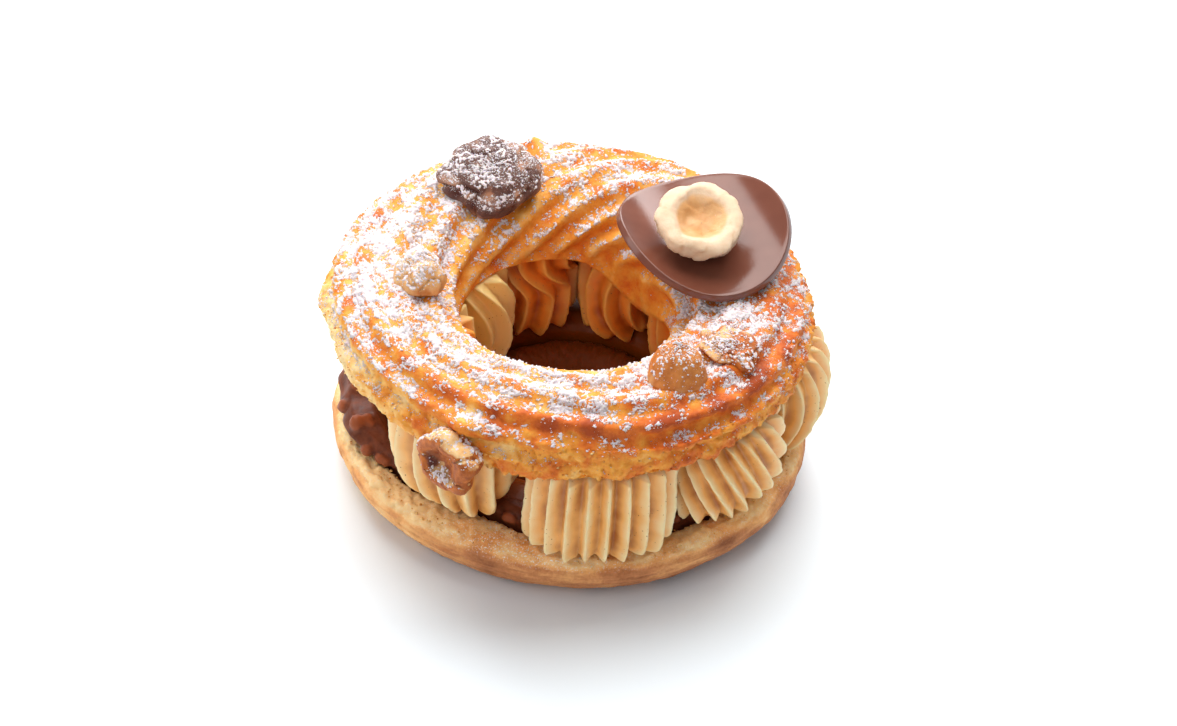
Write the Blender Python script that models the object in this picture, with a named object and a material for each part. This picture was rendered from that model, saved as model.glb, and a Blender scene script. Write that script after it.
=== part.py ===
"""A Paris-Brest: a ring of choux pastry, cut across and filled with piped praline cream.

From the bottom up it has a trough-shaped choux base, a ring of praline chocolate in the trough, nine
piped cream swirls, the ridged choux crown, hazelnut pieces baked onto the crown, and a bent chocolate
disc that carries a blanched hazelnut. Sizes are in millimetres until a mesh is made. +Z is up, the
pastry stands on z = 0. All is worked out about the ring's axis; add_mesh then moves it by SHIFT.
"""

import math

import bpy
from mathutils import Matrix, Vector, noise

MM = 0.001
SHIFT = (0.0, 1.5, 0.0)  # centres the whole, toppings included, on the origin
GAP = 0.35  # space left between neighbouring solids

# Base: a choux trough with a rounded outer wall and a cut, crumbly rim
BASE_R = 42.0  # widest radius of the whole ring
BASE_WIDE_Z = 6.6  # height of that widest place
BASE_FOOT_R = 34.5
BASE_RIM_Z = 9.8
BASE_FLOOR_Z = 3.2
BASE_LIP_R = 39.4  # middle of the outer rim's round top
BASE_RIM_INNER_R = 38.4  # outer edge of the trough at the back
BASE_FRONT_IN = 2.2  # how much the whole ring is flattened at the front
BASE_WALL_BEND = 1.25  # exponent of the wall's curve below its widest place; 1 is an ellipse
BASE_FRONT_RIM = 3.0  # how much broader the rim is at the front
BASE_BROAD_AZ = math.radians(243)  # where the rim is broadest
BASE_BROAD_HALF = math.radians(28)
BASE_BROAD_BY = 2.6
BASE_HOLE_R = 13.0
BASE_HOLE_WAIST_Z = 2.4
BASE_HOLE_FOOT_R = 16.0
BASE_INNER_LIP_R = 16.6
BASE_TROUGH_IN_R = 20.0
BASE_STEPS = 44

# Praline chocolate that fills the trough
PRALINE_TOP_Z = 11.6
PRALINE_OOZE_AZ = math.radians(190)  # it wells up over the rim here
PRALINE_OOZE_HALF = math.radians(31)
PRALINE_STEPS = 44

# Cream swirls
SWIRL_TOP_Z = 30.2
SWIRL_SEAT_Z = 12.3  # on the praline
SWIRL_LOW_Z = 10.2  # where it hangs over the base's rims
SWIRL_SEAT_IN = 1.6  # the flat seat ends this far inside the trough's edges
RIDGE_DEPTH = 1.7
SWIRL_SQUARENESS = 2.7  # superellipse exponent of the footprint
SWIRL_STEADY = 0.6  # how little the width follows the footprint's change in size
SWIRL_LEVELS = 7
FOLD_FROM = 0.52  # shares of the height between which a folded ridge runs sideways
FOLD_TO = 0.86

# Crown: its outline and its hole sit a little to the left and to the front of the ring's axis
CROWN_OUT_R = 41.1
CROWN_OUT_SHIFT = (-1.4, -1.1)
CROWN_LONG = 0.3  # how much longer it is from left to right than from front to back
CROWN_IN_R = 17.8
CROWN_IN_SHIFT = (-2.2, -3.2)
CROWN_CREST_SHARE = 0.51  # place of the crest between the hole and the outside
CROWN_CREST_R = 29.8  # mean radius of the crest
CROWN_HALF_W = 11.7  # mean half width
CROWN_WIDE_Z = 33.8  # height of the widest place outside
CROWN_IN_WIDE_Z = 31.9  # height of the narrowest place of the hole
CROWN_TOP_Z = 41.9
CROWN_SEAT_Z = SWIRL_TOP_Z + GAP
CROWN_LIP_Z = 29.7
CROWN_LIP_W = 2.7  # width of the lip that hangs below the flat seat
CROWN_FLAP_AZ = math.radians(42)  # here the hole's wall hangs down over the cream
CROWN_FLAP_HALF = math.radians(56)
CROWN_FLAP_DROP = 5.5
CROWN_RIDGES = 6.0  # ridges across the dome
CROWN_RIDGE_DEPTH = 1.25
CROWN_HOLE_DEPTH = 1.8  # depth of the grooves on the hole's side
CROWN_HELIX = 5  # ridges that the spiral gains in one turn round the ring, most of them at the back
CROWN_FRONT_SLANT = -0.45  # ridges for each radian at the very front
CROWN_STEPS = 76
CROWN_DOME_POINTS = 24

# Chocolate disc
DISC_R = 15.4
DISC_THICK = 1.4
DISC_BEND_R = 23.1
DISC_CENTRE = (20.2, 7.9, 43.15)
DISC_PITCH = math.radians(-2.8)
DISC_ROLL = math.radians(-2.2)
DISC_TURN = math.radians(24.3)  # direction across which it is bent
DISC_SEGMENTS = 36
DISC_RINGS = 3

# Each swirl: azimuth and half width in degrees, inner and outer radius, then in millimetres along its
# outline the distance between ridges and how far they lean from bottom to top, bow out at half height
# and fold sideways below the top, then the footprint at the bottom and the top as a share of the widest,
# and the place of the widest in height
SWIRL_FIELDS = ("az", "half", "r_in", "r_out", "pitch", "lean", "bow", "fold", "low", "top", "belly")
SWIRLS = {
    "cream_swirl_1": (0.0, 18.6, 16.0, 44.0, 3.6, 1.0, 2.2, 0.0, 0.76, 0.76, 0.55),
    "cream_swirl_2": (36.0, 16.8, 17.0, 41.0, 3.6, -3.0, 0.0, 0.0, 0.86, 0.86, 0.45),
    "cream_swirl_3": (72.5, 18.9, 15.8, 40.5, 4.6, -1.5, -4.2, 0.0, 0.80, 0.90, 0.50),
    "cream_swirl_4": (111.4, 19.2, 16.0, 41.0, 4.6, 0.5, 1.0, 6.0, 0.82, 0.92, 0.55),
    "cream_swirl_5": (151.0, 19.3, 13.3, 39.5, 4.4, -2.0, 3.6, 0.0, 0.80, 0.78, 0.50),
    "cream_swirl_6": (190.5, 18.8, 17.5, 33.4, 3.6, 3.0, 0.0, 0.0, 0.90, 0.92, 0.45),
    "cream_swirl_7": (233.5, 19.4, 16.6, 40.6, 4.8, -2.0, 0.0, 0.0, 0.60, 0.86, 0.64),
    "cream_swirl_8": (280.6, 21.4, 16.4, 42.0, 3.55, 0.0, 0.0, 0.0, 0.93, 0.90, 0.30),
    "cream_swirl_9": (321.5, 18.2, 16.6, 42.4, 3.55, -11.5, 0.0, 0.0, 0.70, 0.82, 0.46),
}

# Burnt lumps and flakes fused to the crown: azimuth and place across the dome in degrees, height, radius
CROWN_LUMPS = (
    (247.0, 26.0, 2.6, 2.6),
    (107.0, 70.0, 2.2, 2.2),
    (187.0, 4.0, 1.2, 3.4),
)

# Each nut piece: size of its split half, centre of its split face, turn about Z, lean about Y and roll
# about X in degrees, depth of the dish as a share of its height, seed and unevenness
NUT_SEGMENTS = 14
CROWN_NUTS = {
    "hazelnut_back": ((18.4, 14.4, 8.5), (-17.2, 18.2, 46.2), 5, 0, 30, 0.10, 1, 0.22),
    "hazelnut_left": ((9.2, 9.0, 6.2), (-27.0, -7.0, 40.2), -35, 180, 12, 0.15, 2, 0.22),
    "hazelnut_front": ((11.6, 11.0, 9.0), (-20.6, -42.2, 32.2), -40, 0, 88, 0.22, 3, 0.25),
    "hazelnut_right": ((9.8, 9.6, 7.6), (17.2, -24.9, 38.9), 30, 180, 8, 0.10, 4, 0.12),
    "hazelnut_chip": ((9.6, 7.2, 4.6), (25.2, -18.9, 42.9), -22, 4, 14, 0.05, 5, 0.45),
}
DISC_NUT = ((14.8, 15.2, 7.2), (19.6, 4.2, 51.6), 12, 0, 13, 0.34, 6, 0.16)

CREAM = ("cream", (0.86, 0.62, 0.34), 0.45)
CHOUX = ("choux", (0.78, 0.42, 0.13), 0.60)
CHOUX_PALE = ("choux_base", (0.80, 0.56, 0.28), 0.65)
PRALINE = ("praline_chocolate", (0.20, 0.085, 0.045), 0.30)
CHOCOLATE = ("milk_chocolate", (0.30, 0.14, 0.095), 0.35)
ROAST_NUT = ("roast_hazelnut", (0.60, 0.34, 0.16), 0.50)
BLANCHED_NUT = ("blanched_hazelnut", (0.87, 0.70, 0.45), 0.45)


def clear_scene():
    for thing in list(bpy.data.objects):
        bpy.data.objects.remove(thing, do_unlink=True)


def material(finish):
    name, colour, roughness = finish
    found = bpy.data.materials.get(name)
    if found:
        return found
    made = bpy.data.materials.new(name)
    made.use_nodes = True
    shader = made.node_tree.nodes["Principled BSDF"]
    shader.inputs["Base Color"].default_value = (*colour, 1.0)
    shader.inputs["Roughness"].default_value = roughness
    shader.inputs["Metallic"].default_value = 0.0
    return made


def add_mesh(name, points, faces, finish):
    """One named object from points in millimetres."""
    mesh = bpy.data.meshes.new(name)
    mesh.from_pydata([(Vector(p) + Vector(SHIFT)) * MM for p in points], [], faces)
    mesh.materials.append(material(finish))
    mesh.shade_smooth()
    mesh.set_sharp_from_angle(angle=math.radians(50))
    thing = bpy.data.objects.new(name, mesh)
    bpy.context.scene.collection.objects.link(thing)
    return thing


def power(value, exponent):
    return math.copysign(abs(value) ** exponent, value)


def ellipse_arc(centre, radii, start_deg, end_deg, count, bend=1.0):
    """Points of (radius, height) along an arc of an ellipse, flatter where bend is above 1."""
    out = []
    for i in range(count):
        a = math.radians(start_deg + (end_deg - start_deg) * i / (count - 1))
        across, up = power(math.cos(a), bend), power(math.sin(a), bend)
        out.append((centre[0] + radii[0] * across, centre[1] + radii[1] * up))
    return out


def ring_solid(name, section, steps, finish):
    """Closes the sections that section(azimuth) gives, counter-clockwise in (radius, height), to a ring."""
    loops = []
    for i in range(steps):
        az = 2 * math.pi * i / steps
        loops.append([(r * math.cos(az), r * math.sin(az), z) for r, z in section(az)])
    size = len(loops[0])
    faces = []
    for i in range(steps):
        for k in range(size):
            a, b = i * size + k, i * size + (k + 1) % size
            c, d = (i + 1) % steps * size + (k + 1) % size, (i + 1) % steps * size + k
            faces.append((a, d, c, b))
    return add_mesh(name, [p for loop in loops for p in loop], faces, finish)


def smooth_step(x):
    x = min(1.0, max(0.0, x))
    return x * x * (3 - 2 * x)


def mix(a, b, share):
    return a + (b - a) * share


def wobble(seed, az, size=1.0):
    """A smooth value of about -1 to 1 that closes round the ring."""
    return noise.noise(Vector((math.cos(az) * size, math.sin(az) * size, 7.3 * seed)))


def bump(az, middle, half):
    """1 at the middle azimuth, falling smoothly to 0 at half on both sides."""
    away = abs((az - middle + math.pi) % (2 * math.pi) - math.pi)
    return smooth_step(1 - away / half)


def front_share(az):
    """1 at the very front of the ring, 0 at its back."""
    return ((1 - math.sin(az)) / 2) ** 2


def rim_inner_radius(az):
    """The trough's outer edge: the rim is broader at the front."""
    edge = BASE_RIM_INNER_R - (BASE_FRONT_RIM + BASE_FRONT_IN) * front_share(az)
    return edge - BASE_BROAD_BY * bump(az, BASE_BROAD_AZ, BASE_BROAD_HALF)


def base_section(az):
    inward = BASE_FRONT_IN * front_share(az)
    outer = BASE_R - inward + 0.6 * wobble(1, az, 2.2)
    foot = BASE_FOOT_R - inward
    rim_z = BASE_RIM_Z - 0.25 + 0.25 * wobble(2, az, 3.0)
    edge = rim_inner_radius(az)
    wall = ellipse_arc((foot, BASE_WIDE_Z), (outer - foot, BASE_WIDE_Z), -90, 0, 5, BASE_WALL_BEND)
    lip_r = BASE_LIP_R - inward
    lip_r = min(lip_r, mix(lip_r, edge + 2.4, 0.5))
    lip = ellipse_arc((lip_r, BASE_WIDE_Z), (outer - lip_r, rim_z - BASE_WIDE_Z), 30, 90, 3)
    trough = [(edge + 0.2, rim_z - 0.7), (edge, BASE_FLOOR_Z)]
    inner = [(BASE_TROUGH_IN_R, BASE_FLOOR_Z), (BASE_TROUGH_IN_R - 0.3, rim_z - 1.0)]
    lip_size = (BASE_INNER_LIP_R - BASE_HOLE_R, rim_z - BASE_WIDE_Z)
    hole_lip = ellipse_arc((BASE_INNER_LIP_R, BASE_WIDE_Z), lip_size, 80, 180, 4)
    hole_foot = [(mix(BASE_HOLE_R, BASE_HOLE_FOOT_R, 0.2), BASE_HOLE_WAIST_Z), (BASE_HOLE_FOOT_R, 0.0)]
    return wall + lip + trough + inner + hole_lip + hole_foot


def ooze(az):
    """How far the praline wells up over the rim, 0 to 1."""
    return min(1.0, 1.4 * bump(az, PRALINE_OOZE_AZ, PRALINE_OOZE_HALF))


def praline_section(az):
    well = ooze(az)
    edge = rim_inner_radius(az) - 0.7
    top = PRALINE_TOP_Z
    floor = BASE_FLOOR_Z + GAP
    inside = BASE_TROUGH_IN_R + GAP
    inward = BASE_FRONT_IN * front_share(az)
    lump = 0.5 * wobble(3, az, 4.0)
    return [
        (edge - 0.1, floor),
        (edge, mix(9.4, 10.3, well)),
        (mix(edge, BASE_LIP_R + 0.2 - inward, well), mix(9.9, 10.5, well)),
        (mix(edge - 0.1, 41.2 - inward + lump, well), mix(10.4, 12.2, well)),
        (mix(edge - 0.8, 39.6 - inward + lump, well), mix(11.2, 14.6, well)),
        (mix(edge - 1.8, 36.2 - inward, well), mix(top, 15.2 + lump, well)),
        (min(34.0, edge - 3.2), top),
        (28.0, top),
        (inside + 3.2, top),
        (inside + 1.2, top - 1.1),
        (inside + 0.2, 9.2),
        (inside, floor),
    ]


def ridge_wave(turns):
    """1 on a ridge's sharp crest, 0 in the round valley between two ridges."""
    return 1.0 - abs(math.sin(math.pi * turns))


def footprint(swirl, psi, share, inset):
    """A point of the swirl's outline as radius and azimuth, share of the full size, inset in millimetres."""
    mid = (swirl["r_in"] + swirl["r_out"]) / 2
    reach = (swirl["r_out"] - swirl["r_in"]) / 2
    bend = 2 / SWIRL_SQUARENESS
    across = power(math.cos(psi), bend)
    along = power(math.sin(psi), bend)
    radius = mid + (reach * share - inset) * across
    half = math.radians(swirl["half"]) * mix(share, 1.0, SWIRL_STEADY) - inset / radius
    return radius, math.radians(swirl["az"]) + half * along


def ridge_angles(swirl, per_ridge):
    """Outline angles spaced evenly along the footprint, and how many ridges fit round it."""
    samples = 360
    psis = [2 * math.pi * i / samples for i in range(samples + 1)]
    spots = [footprint(swirl, psi, 1.0, 0.0) for psi in psis]
    flat = [(r * math.cos(a), r * math.sin(a)) for r, a in spots]
    run = [0.0]
    for a, b in zip(flat, flat[1:]):
        run.append(run[-1] + math.dist(a, b))
    ridges = round(run[-1] / swirl["pitch"])

    def psi_at(turns):
        want = (turns % 1.0) * run[-1]
        i = min(samples - 1, next(k for k in range(samples) if run[k + 1] >= want))
        part = (want - run[i]) / (run[i + 1] - run[i])
        return mix(psis[i], psis[i + 1], part)

    return psi_at, ridges, run[-1], ridges * per_ridge


def swirl_floor(radius, az):
    """Underside of the cream: flat on the praline, lower over both rims of the base."""
    edge = rim_inner_radius(az)
    if radius > 28:
        return mix(SWIRL_SEAT_Z, SWIRL_LOW_Z, smooth_step((radius - edge + 1.2) / 2.4))
    return mix(SWIRL_LOW_Z, SWIRL_SEAT_Z, smooth_step((radius - 19.4) / 2.2))


def swirl_share(swirl, height):
    """Size of the footprint at a height of 0 to 1, widest at the belly."""
    if height < swirl["belly"]:
        away = 1 - height / swirl["belly"]
        return mix(1.0, swirl["low"], away**2.2)
    away = (height - swirl["belly"]) / (1 - swirl["belly"])
    return mix(1.0, swirl["top"], away**2.2)


def crown_edges(az):
    """Radii of the crown's hole and of its outside."""
    inner = CROWN_IN_R + CROWN_IN_SHIFT[0] * math.cos(az) + CROWN_IN_SHIFT[1] * math.sin(az)
    outer = CROWN_OUT_R + CROWN_OUT_SHIFT[0] * math.cos(az) + CROWN_OUT_SHIFT[1] * math.sin(az)
    outer += CROWN_LONG * math.cos(2 * az)
    return inner + 0.5 * wobble(8, az, 1.8), outer + 0.45 * wobble(4, az, 1.8)


def ridge_shift(swirl, height):
    """How far the ridges have moved along the outline at a height of 0 to 1, in millimetres."""
    bow = swirl["bow"] * 4 * height * (1 - height)
    fold = swirl["fold"] * smooth_step((height - FOLD_FROM) / (FOLD_TO - FOLD_FROM))
    return swirl["lean"] * height + bow - fold


def add_swirl(name, swirl):
    psi_at, ridges, length, count = ridge_angles(swirl, 2)
    points = []
    for level in range(SWIRL_LEVELS):
        height = level / (SWIRL_LEVELS - 1)
        share = swirl_share(swirl, height)
        for k in range(count):
            turns = k / count + ridge_shift(swirl, height) / length
            inset = RIDGE_DEPTH * (1 - ridge_wave(ridges * k / count))
            radius, az = footprint(swirl, psi_at(turns), share, inset)
            if level == SWIRL_LEVELS - 1:
                radius = min(radius, crown_edges(az)[1] - CROWN_LIP_W - GAP)
            z = mix(swirl_floor(radius, az), SWIRL_TOP_Z, height)
            points.append((radius * math.cos(az), radius * math.sin(az), z))
    faces = []
    for level in range(SWIRL_LEVELS - 1):
        for k in range(count):
            a, b = level * count + k, level * count + (k + 1) % count
            faces.append((a, b, b + count, a + count))
    mid = (swirl["r_in"] + swirl["r_out"]) / 2
    az = math.radians(swirl["az"])
    spine = len(points)
    for z in (SWIRL_SEAT_Z, SWIRL_TOP_Z):
        points.append((mid * math.cos(az), mid * math.sin(az), z))
    half_way = len(points)
    for k in range(count):
        radius, at = footprint(swirl, psi_at(k / count), 0.8 * swirl["low"], 0.0)
        radius = max(BASE_TROUGH_IN_R + SWIRL_SEAT_IN, min(radius, rim_inner_radius(at) - SWIRL_SEAT_IN))
        points.append((radius * math.cos(at), radius * math.sin(at), SWIRL_SEAT_Z))
    top = (SWIRL_LEVELS - 1) * count
    for k in range(count):
        after = (k + 1) % count
        faces.append((after, k, half_way + k, half_way + after))
        faces.append((half_way + after, half_way + k, spine))
        faces.append((top + k, top + after, spine + 1))
    return add_mesh(name, points, faces, CREAM)


def crown_lump_height(az, place):
    """Extra height of the fused lumps at an azimuth and a place across the dome, both in radians."""
    extra = 0.0
    for at_az, at_place, height, radius in CROWN_LUMPS:
        turn = (az - math.radians(at_az) + math.pi) % (2 * math.pi) - math.pi
        along = turn * CROWN_CREST_R
        across = (place - math.radians(at_place)) * CROWN_HALF_W
        extra += height * math.exp(-(along**2 + across**2) / radius**2)
    return extra


def crown_slant(az):
    """How many ridges the pattern moves across the crown up to an azimuth.

    Its rate is CROWN_FRONT_SLANT at the front and grows to the back as ((1 + sin) / 2) squared, whose mean
    is 3 / 8, so that a whole turn moves it by CROWN_HELIX ridges.
    """
    back = (CROWN_HELIX / (2 * math.pi) - CROWN_FRONT_SLANT) * 8 / 3
    travel = 3 / 8 * az - math.cos(az) / 2 - math.sin(2 * az) / 16
    return -CROWN_FRONT_SLANT * az - back * travel


def crown_valley(az, place):
    """0 on a ridge of the crown, 1 in the groove beside it."""
    turns = CROWN_RIDGES * place / math.pi + crown_slant(az) + 0.2 * wobble(6, az, 1.3)
    strength = 0.85 + 0.5 * noise.noise(Vector((math.cos(az) * 2, math.sin(az) * 2, place * 1.3)))
    return (0.5 - 0.5 * math.cos(2 * math.pi * turns)) * strength


def crown_dome(az, place, clearance=None):
    """Point of the dome: place runs from 0 at the outer side over the top to pi at the hole.

    Without a clearance the dome has its ridges; with one it is a smooth dome, larger by that much.
    """
    inner, outer = crown_edges(az)
    crest = mix(inner, outer, CROWN_CREST_SHARE)
    top = CROWN_TOP_Z + 0.8 * wobble(5, az, 1.7)
    c, s = math.cos(place), math.sin(place)
    reach = outer - crest if c > 0 else crest - inner
    wide = CROWN_WIDE_Z if c > 0 else CROWN_IN_WIDE_Z
    grow = crown_lump_height(az, place)
    if clearance is None:
        depth = mix(CROWN_RIDGE_DEPTH, CROWN_HOLE_DEPTH, smooth_step((place - 1.6) / 0.8))
        grow -= depth * crown_valley(az, place)
    else:
        grow += clearance
    bend = 0.86 if c > 0 else 1.0
    return crest + (reach + grow) * power(c, bend), wide + (top - wide + grow) * abs(s) ** 0.92


def crown_section(az):
    """Dome and flat underside, counter-clockwise from the outer foot."""
    inner, foot = crown_edges(az)
    outer_lip = CROWN_LIP_Z + 0.35 * wobble(7, az, 3.0)
    inner_lip = CROWN_SEAT_Z - 0.2 - CROWN_FLAP_DROP * bump(az, CROWN_FLAP_AZ, CROWN_FLAP_HALF)
    dome = [crown_dome(az, math.pi * i / (CROWN_DOME_POINTS - 1)) for i in range(CROWN_DOME_POINTS)]
    return [
        (foot - CROWN_LIP_W, CROWN_SEAT_Z),
        (foot - 1.5, outer_lip),
        (foot - 0.6, mix(outer_lip, CROWN_WIDE_Z, 0.45)),
        *dome,
        (inner - 0.1, inner_lip + 0.3),
        (inner + 0.9, inner_lip),
        (inner + 1.3, CROWN_SEAT_Z),
    ]


def crown_clearance_section(az):
    """The crown without its ridges, grown by the gap that its toppings keep."""
    places = [math.pi * i / 12 for i in range(13)]
    dome = [crown_dome(az, place, GAP) for place in places]
    low = CROWN_LIP_Z - 1.5
    inner, foot = crown_edges(az)
    return [(foot - 1.2, low), (foot + 0.5, CROWN_WIDE_Z - 1.5), *dome, (inner - 1.0, low)]


def add_crown():
    return ring_solid("choux_crown", crown_section, CROWN_STEPS, CHOUX)


def add_cutter():
    cutter = ring_solid("crown_clearance", crown_clearance_section, CROWN_STEPS, CHOUX)
    cutter.hide_render = True
    cutter.display_type = "WIRE"
    return cutter


def nut_rings(size, dish, segments, seed, rough):
    """A half hazelnut: a dished split face up, a round back below. size is its three full sizes."""
    length, width, height = size
    profile = [(0.24, -dish), (0.48, -0.5 * dish), (0.76, -0.03), (1.0, -0.12)]
    for i in range(1, 4):
        a = math.pi / 2 * i / 4
        profile.append((math.cos(a), -0.12 - 0.88 * math.sin(a)))
    points = [(0.0, 0.0, -dish * height * 1.05)]
    for share, depth in profile:
        for k in range(segments):
            a = 2 * math.pi * k / segments
            spot = Vector((share * math.cos(a), share * math.sin(a), depth))
            spot *= 1 + rough * noise.noise(spot * 1.9 + Vector((seed * 3.1, 0, 0)))
            points.append((length / 2 * spot.x, width / 2 * spot.y, height * spot.z))
    points.append((0.0, 0.0, -height))
    faces = [(0, 1 + k, 1 + (k + 1) % segments) for k in range(segments)]
    for ring in range(len(profile) - 1):
        for k in range(segments):
            a = 1 + ring * segments + k
            b = 1 + ring * segments + (k + 1) % segments
            faces.append((a, a + segments, b + segments, b))
    last = 1 + (len(profile) - 1) * segments
    faces += [(last + (k + 1) % segments, last + k, len(points) - 1) for k in range(segments)]
    return points, faces


def placed(points, centre, turn, lean, roll=0.0):
    """Moves points: rolled about X, leaned about Y, turned about Z, in degrees, then to the centre."""
    frame = Matrix.Rotation(math.radians(turn), 3, "Z")
    frame = frame @ Matrix.Rotation(math.radians(lean), 3, "Y") @ Matrix.Rotation(math.radians(roll), 3, "X")
    return [tuple(frame @ Vector(p) + Vector(centre)) for p in points]


def add_nut(name, nut, finish, cutter=None):
    size, centre, turn, lean, roll, dish, seed, rough = nut
    points, faces = nut_rings(size, dish, NUT_SEGMENTS, seed, rough)
    made = add_mesh(name, placed(points, centre, turn, lean, roll), faces, finish)
    if cutter:
        cut = made.modifiers.new("sits_on_crown", "BOOLEAN")
        cut.operation = "DIFFERENCE"
        cut.solver = "EXACT"
        cut.object = cutter
    return made


def disc_point(x, y, side):
    """Point of the bent disc, x across the bend and y along it; side is 1 on top and -1 below."""
    angle = x / DISC_BEND_R
    radius = DISC_BEND_R - side * DISC_THICK / 2
    flat = Vector((radius * math.sin(angle), y, DISC_BEND_R - radius * math.cos(angle)))
    frame = Matrix.Rotation(DISC_ROLL, 3, "Y") @ Matrix.Rotation(-DISC_PITCH, 3, "X")
    frame = frame @ Matrix.Rotation(DISC_TURN, 3, "Z")
    return tuple(frame @ flat + Vector(DISC_CENTRE))


def add_disc():
    points = [disc_point(0, 0, 1), disc_point(0, 0, -1)]
    rings = [(1, (i + 1) / DISC_RINGS) for i in range(DISC_RINGS)]
    rings += [(-1, (DISC_RINGS - i) / DISC_RINGS) for i in range(DISC_RINGS)]
    for side, share in rings:
        for k in range(DISC_SEGMENTS):
            a = 2 * math.pi * k / DISC_SEGMENTS
            points.append(disc_point(DISC_R * share * math.cos(a), DISC_R * share * math.sin(a), side))
    faces = [(0, 2 + k, 2 + (k + 1) % DISC_SEGMENTS) for k in range(DISC_SEGMENTS)]
    for ring in range(len(rings) - 1):
        for k in range(DISC_SEGMENTS):
            a = 2 + ring * DISC_SEGMENTS + k
            b = 2 + ring * DISC_SEGMENTS + (k + 1) % DISC_SEGMENTS
            faces.append((a, a + DISC_SEGMENTS, b + DISC_SEGMENTS, b))
    last = 2 + (len(rings) - 1) * DISC_SEGMENTS
    faces += [(last + (k + 1) % DISC_SEGMENTS, last + k, 1) for k in range(DISC_SEGMENTS)]
    return add_mesh("chocolate_disc", points, faces, CHOCOLATE)


def add_nuts():
    cutter = add_cutter()
    for name, nut in CROWN_NUTS.items():
        add_nut(name, nut, ROAST_NUT, cutter)
    add_nut("hazelnut_on_disc", DISC_NUT, BLANCHED_NUT)


def main():
    clear_scene()
    ring_solid("choux_base", base_section, BASE_STEPS, CHOUX_PALE)
    ring_solid("praline_filling", praline_section, PRALINE_STEPS, PRALINE)
    for name, values in SWIRLS.items():
        add_swirl(name, dict(zip(SWIRL_FIELDS, values)))
    add_crown()
    add_nuts()
    add_disc()


main()
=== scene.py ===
"""Looks of the Paris-Brest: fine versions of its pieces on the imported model, their finishes, icing sugar,
crumbs, light, floor and camera. Sizes are in millimetres until a mesh is made, azimuths are about the
ring's axis, in degrees in the tables and in radians elsewhere, and -Y faces the viewer."""

import math

import bpy
import numpy as np
from mathutils import Matrix, Vector, noise


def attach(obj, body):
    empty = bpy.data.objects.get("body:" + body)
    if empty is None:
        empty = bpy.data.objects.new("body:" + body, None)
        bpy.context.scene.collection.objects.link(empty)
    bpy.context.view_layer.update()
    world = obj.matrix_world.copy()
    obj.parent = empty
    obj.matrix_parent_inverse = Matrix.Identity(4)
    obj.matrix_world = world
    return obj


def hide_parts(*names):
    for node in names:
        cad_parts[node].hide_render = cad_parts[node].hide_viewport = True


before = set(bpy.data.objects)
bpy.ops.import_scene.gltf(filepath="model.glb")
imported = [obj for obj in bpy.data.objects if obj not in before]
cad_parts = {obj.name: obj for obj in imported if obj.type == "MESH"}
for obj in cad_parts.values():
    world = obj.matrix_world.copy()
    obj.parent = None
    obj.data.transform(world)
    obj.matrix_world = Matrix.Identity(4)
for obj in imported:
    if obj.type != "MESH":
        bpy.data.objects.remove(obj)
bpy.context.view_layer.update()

MM = 0.001
SHIFT = np.array((0.0, 1.5, 0.0))  # from the ring's axis to the model's origin
GAP = 0.35
SEED = 11

# Photograph: its size, the place of a known point in it, and the camera that fits the base's outline
PHOTO_SIZE = (1177, 726)
FOCAL_PIXELS = 3420.0
CAMERA_ELEVATION = math.radians(41.0)
CAMERA_ROLL = math.radians(4.5)
CAMERA_DISTANCE = 600.0
TARGET = (0.0, 1.5, 7.0)
TARGET_PIXEL = (570.5, 418.5)
SENSOR_WIDTH = 36.0

# Base
BASE_R = 42.0
BASE_WIDE_Z = 6.6
BASE_FOOT_R = 34.5
BASE_RIM_Z = 9.8
BASE_FLOOR_Z = 3.2
BASE_LIP_R = 39.4
BASE_RIM_INNER_R = 38.4
BASE_FRONT_IN = 2.2
BASE_WALL_BEND = 1.25
BASE_FRONT_RIM = 3.0
BASE_BROAD_AZ = 243
BASE_BROAD_HALF = 28
BASE_BROAD_BY = 2.6
BASE_HOLE_R = 13.0
BASE_HOLE_WAIST_Z = 2.4
BASE_HOLE_FOOT_R = 16.0
BASE_INNER_LIP_R = 16.6
BASE_TROUGH_IN_R = 20.0
BASE_STEPS = 560

# Praline chocolate
PRALINE_TOP_Z = 11.6
PRALINE_OOZE_AZ = 190
PRALINE_OOZE_HALF = 31
PRALINE_STEPS = 680
PRALINE_NUTS = (  # azimuth and its spread, radius and its spread, count and largest size
    (196, 24, 38.6, 2.0, 15, 1.6),
    (256, 9, 32.0, 1.4, 8, 1.3),
    (303, 9, 32.5, 1.4, 5, 1.2),
    (30, 120, 32.0, 4.0, 20, 1.3),
)

# Cream swirls
SWIRL_TOP_Z = 30.2
SWIRL_SEAT_Z = 12.3
SWIRL_LOW_Z = 10.2
RIDGE_DEPTH = 1.7
SWIRL_SQUARENESS = 2.7
SWIRL_STEADY = 0.6
FOLD_FROM = 0.52  # share of the height between which a folded ridge runs sideways
FOLD_TO = 0.86
SWIRL_LEVELS = 46
SWIRL_SPREAD = math.radians(0.8)  # how much wider than its solid a swirl is, so that neighbours touch
RIDGE_POINTS = 14
SCALLOP_BELOW = 0.65  # swirls whose foot is a smaller share than this have round lobes there
SCALLOP_FOOT = (5.0, 2.4)  # height and depth of the rounding at their foot
SWIRL_FOOT = (2.6, 1.3)  # the same for the others
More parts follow.
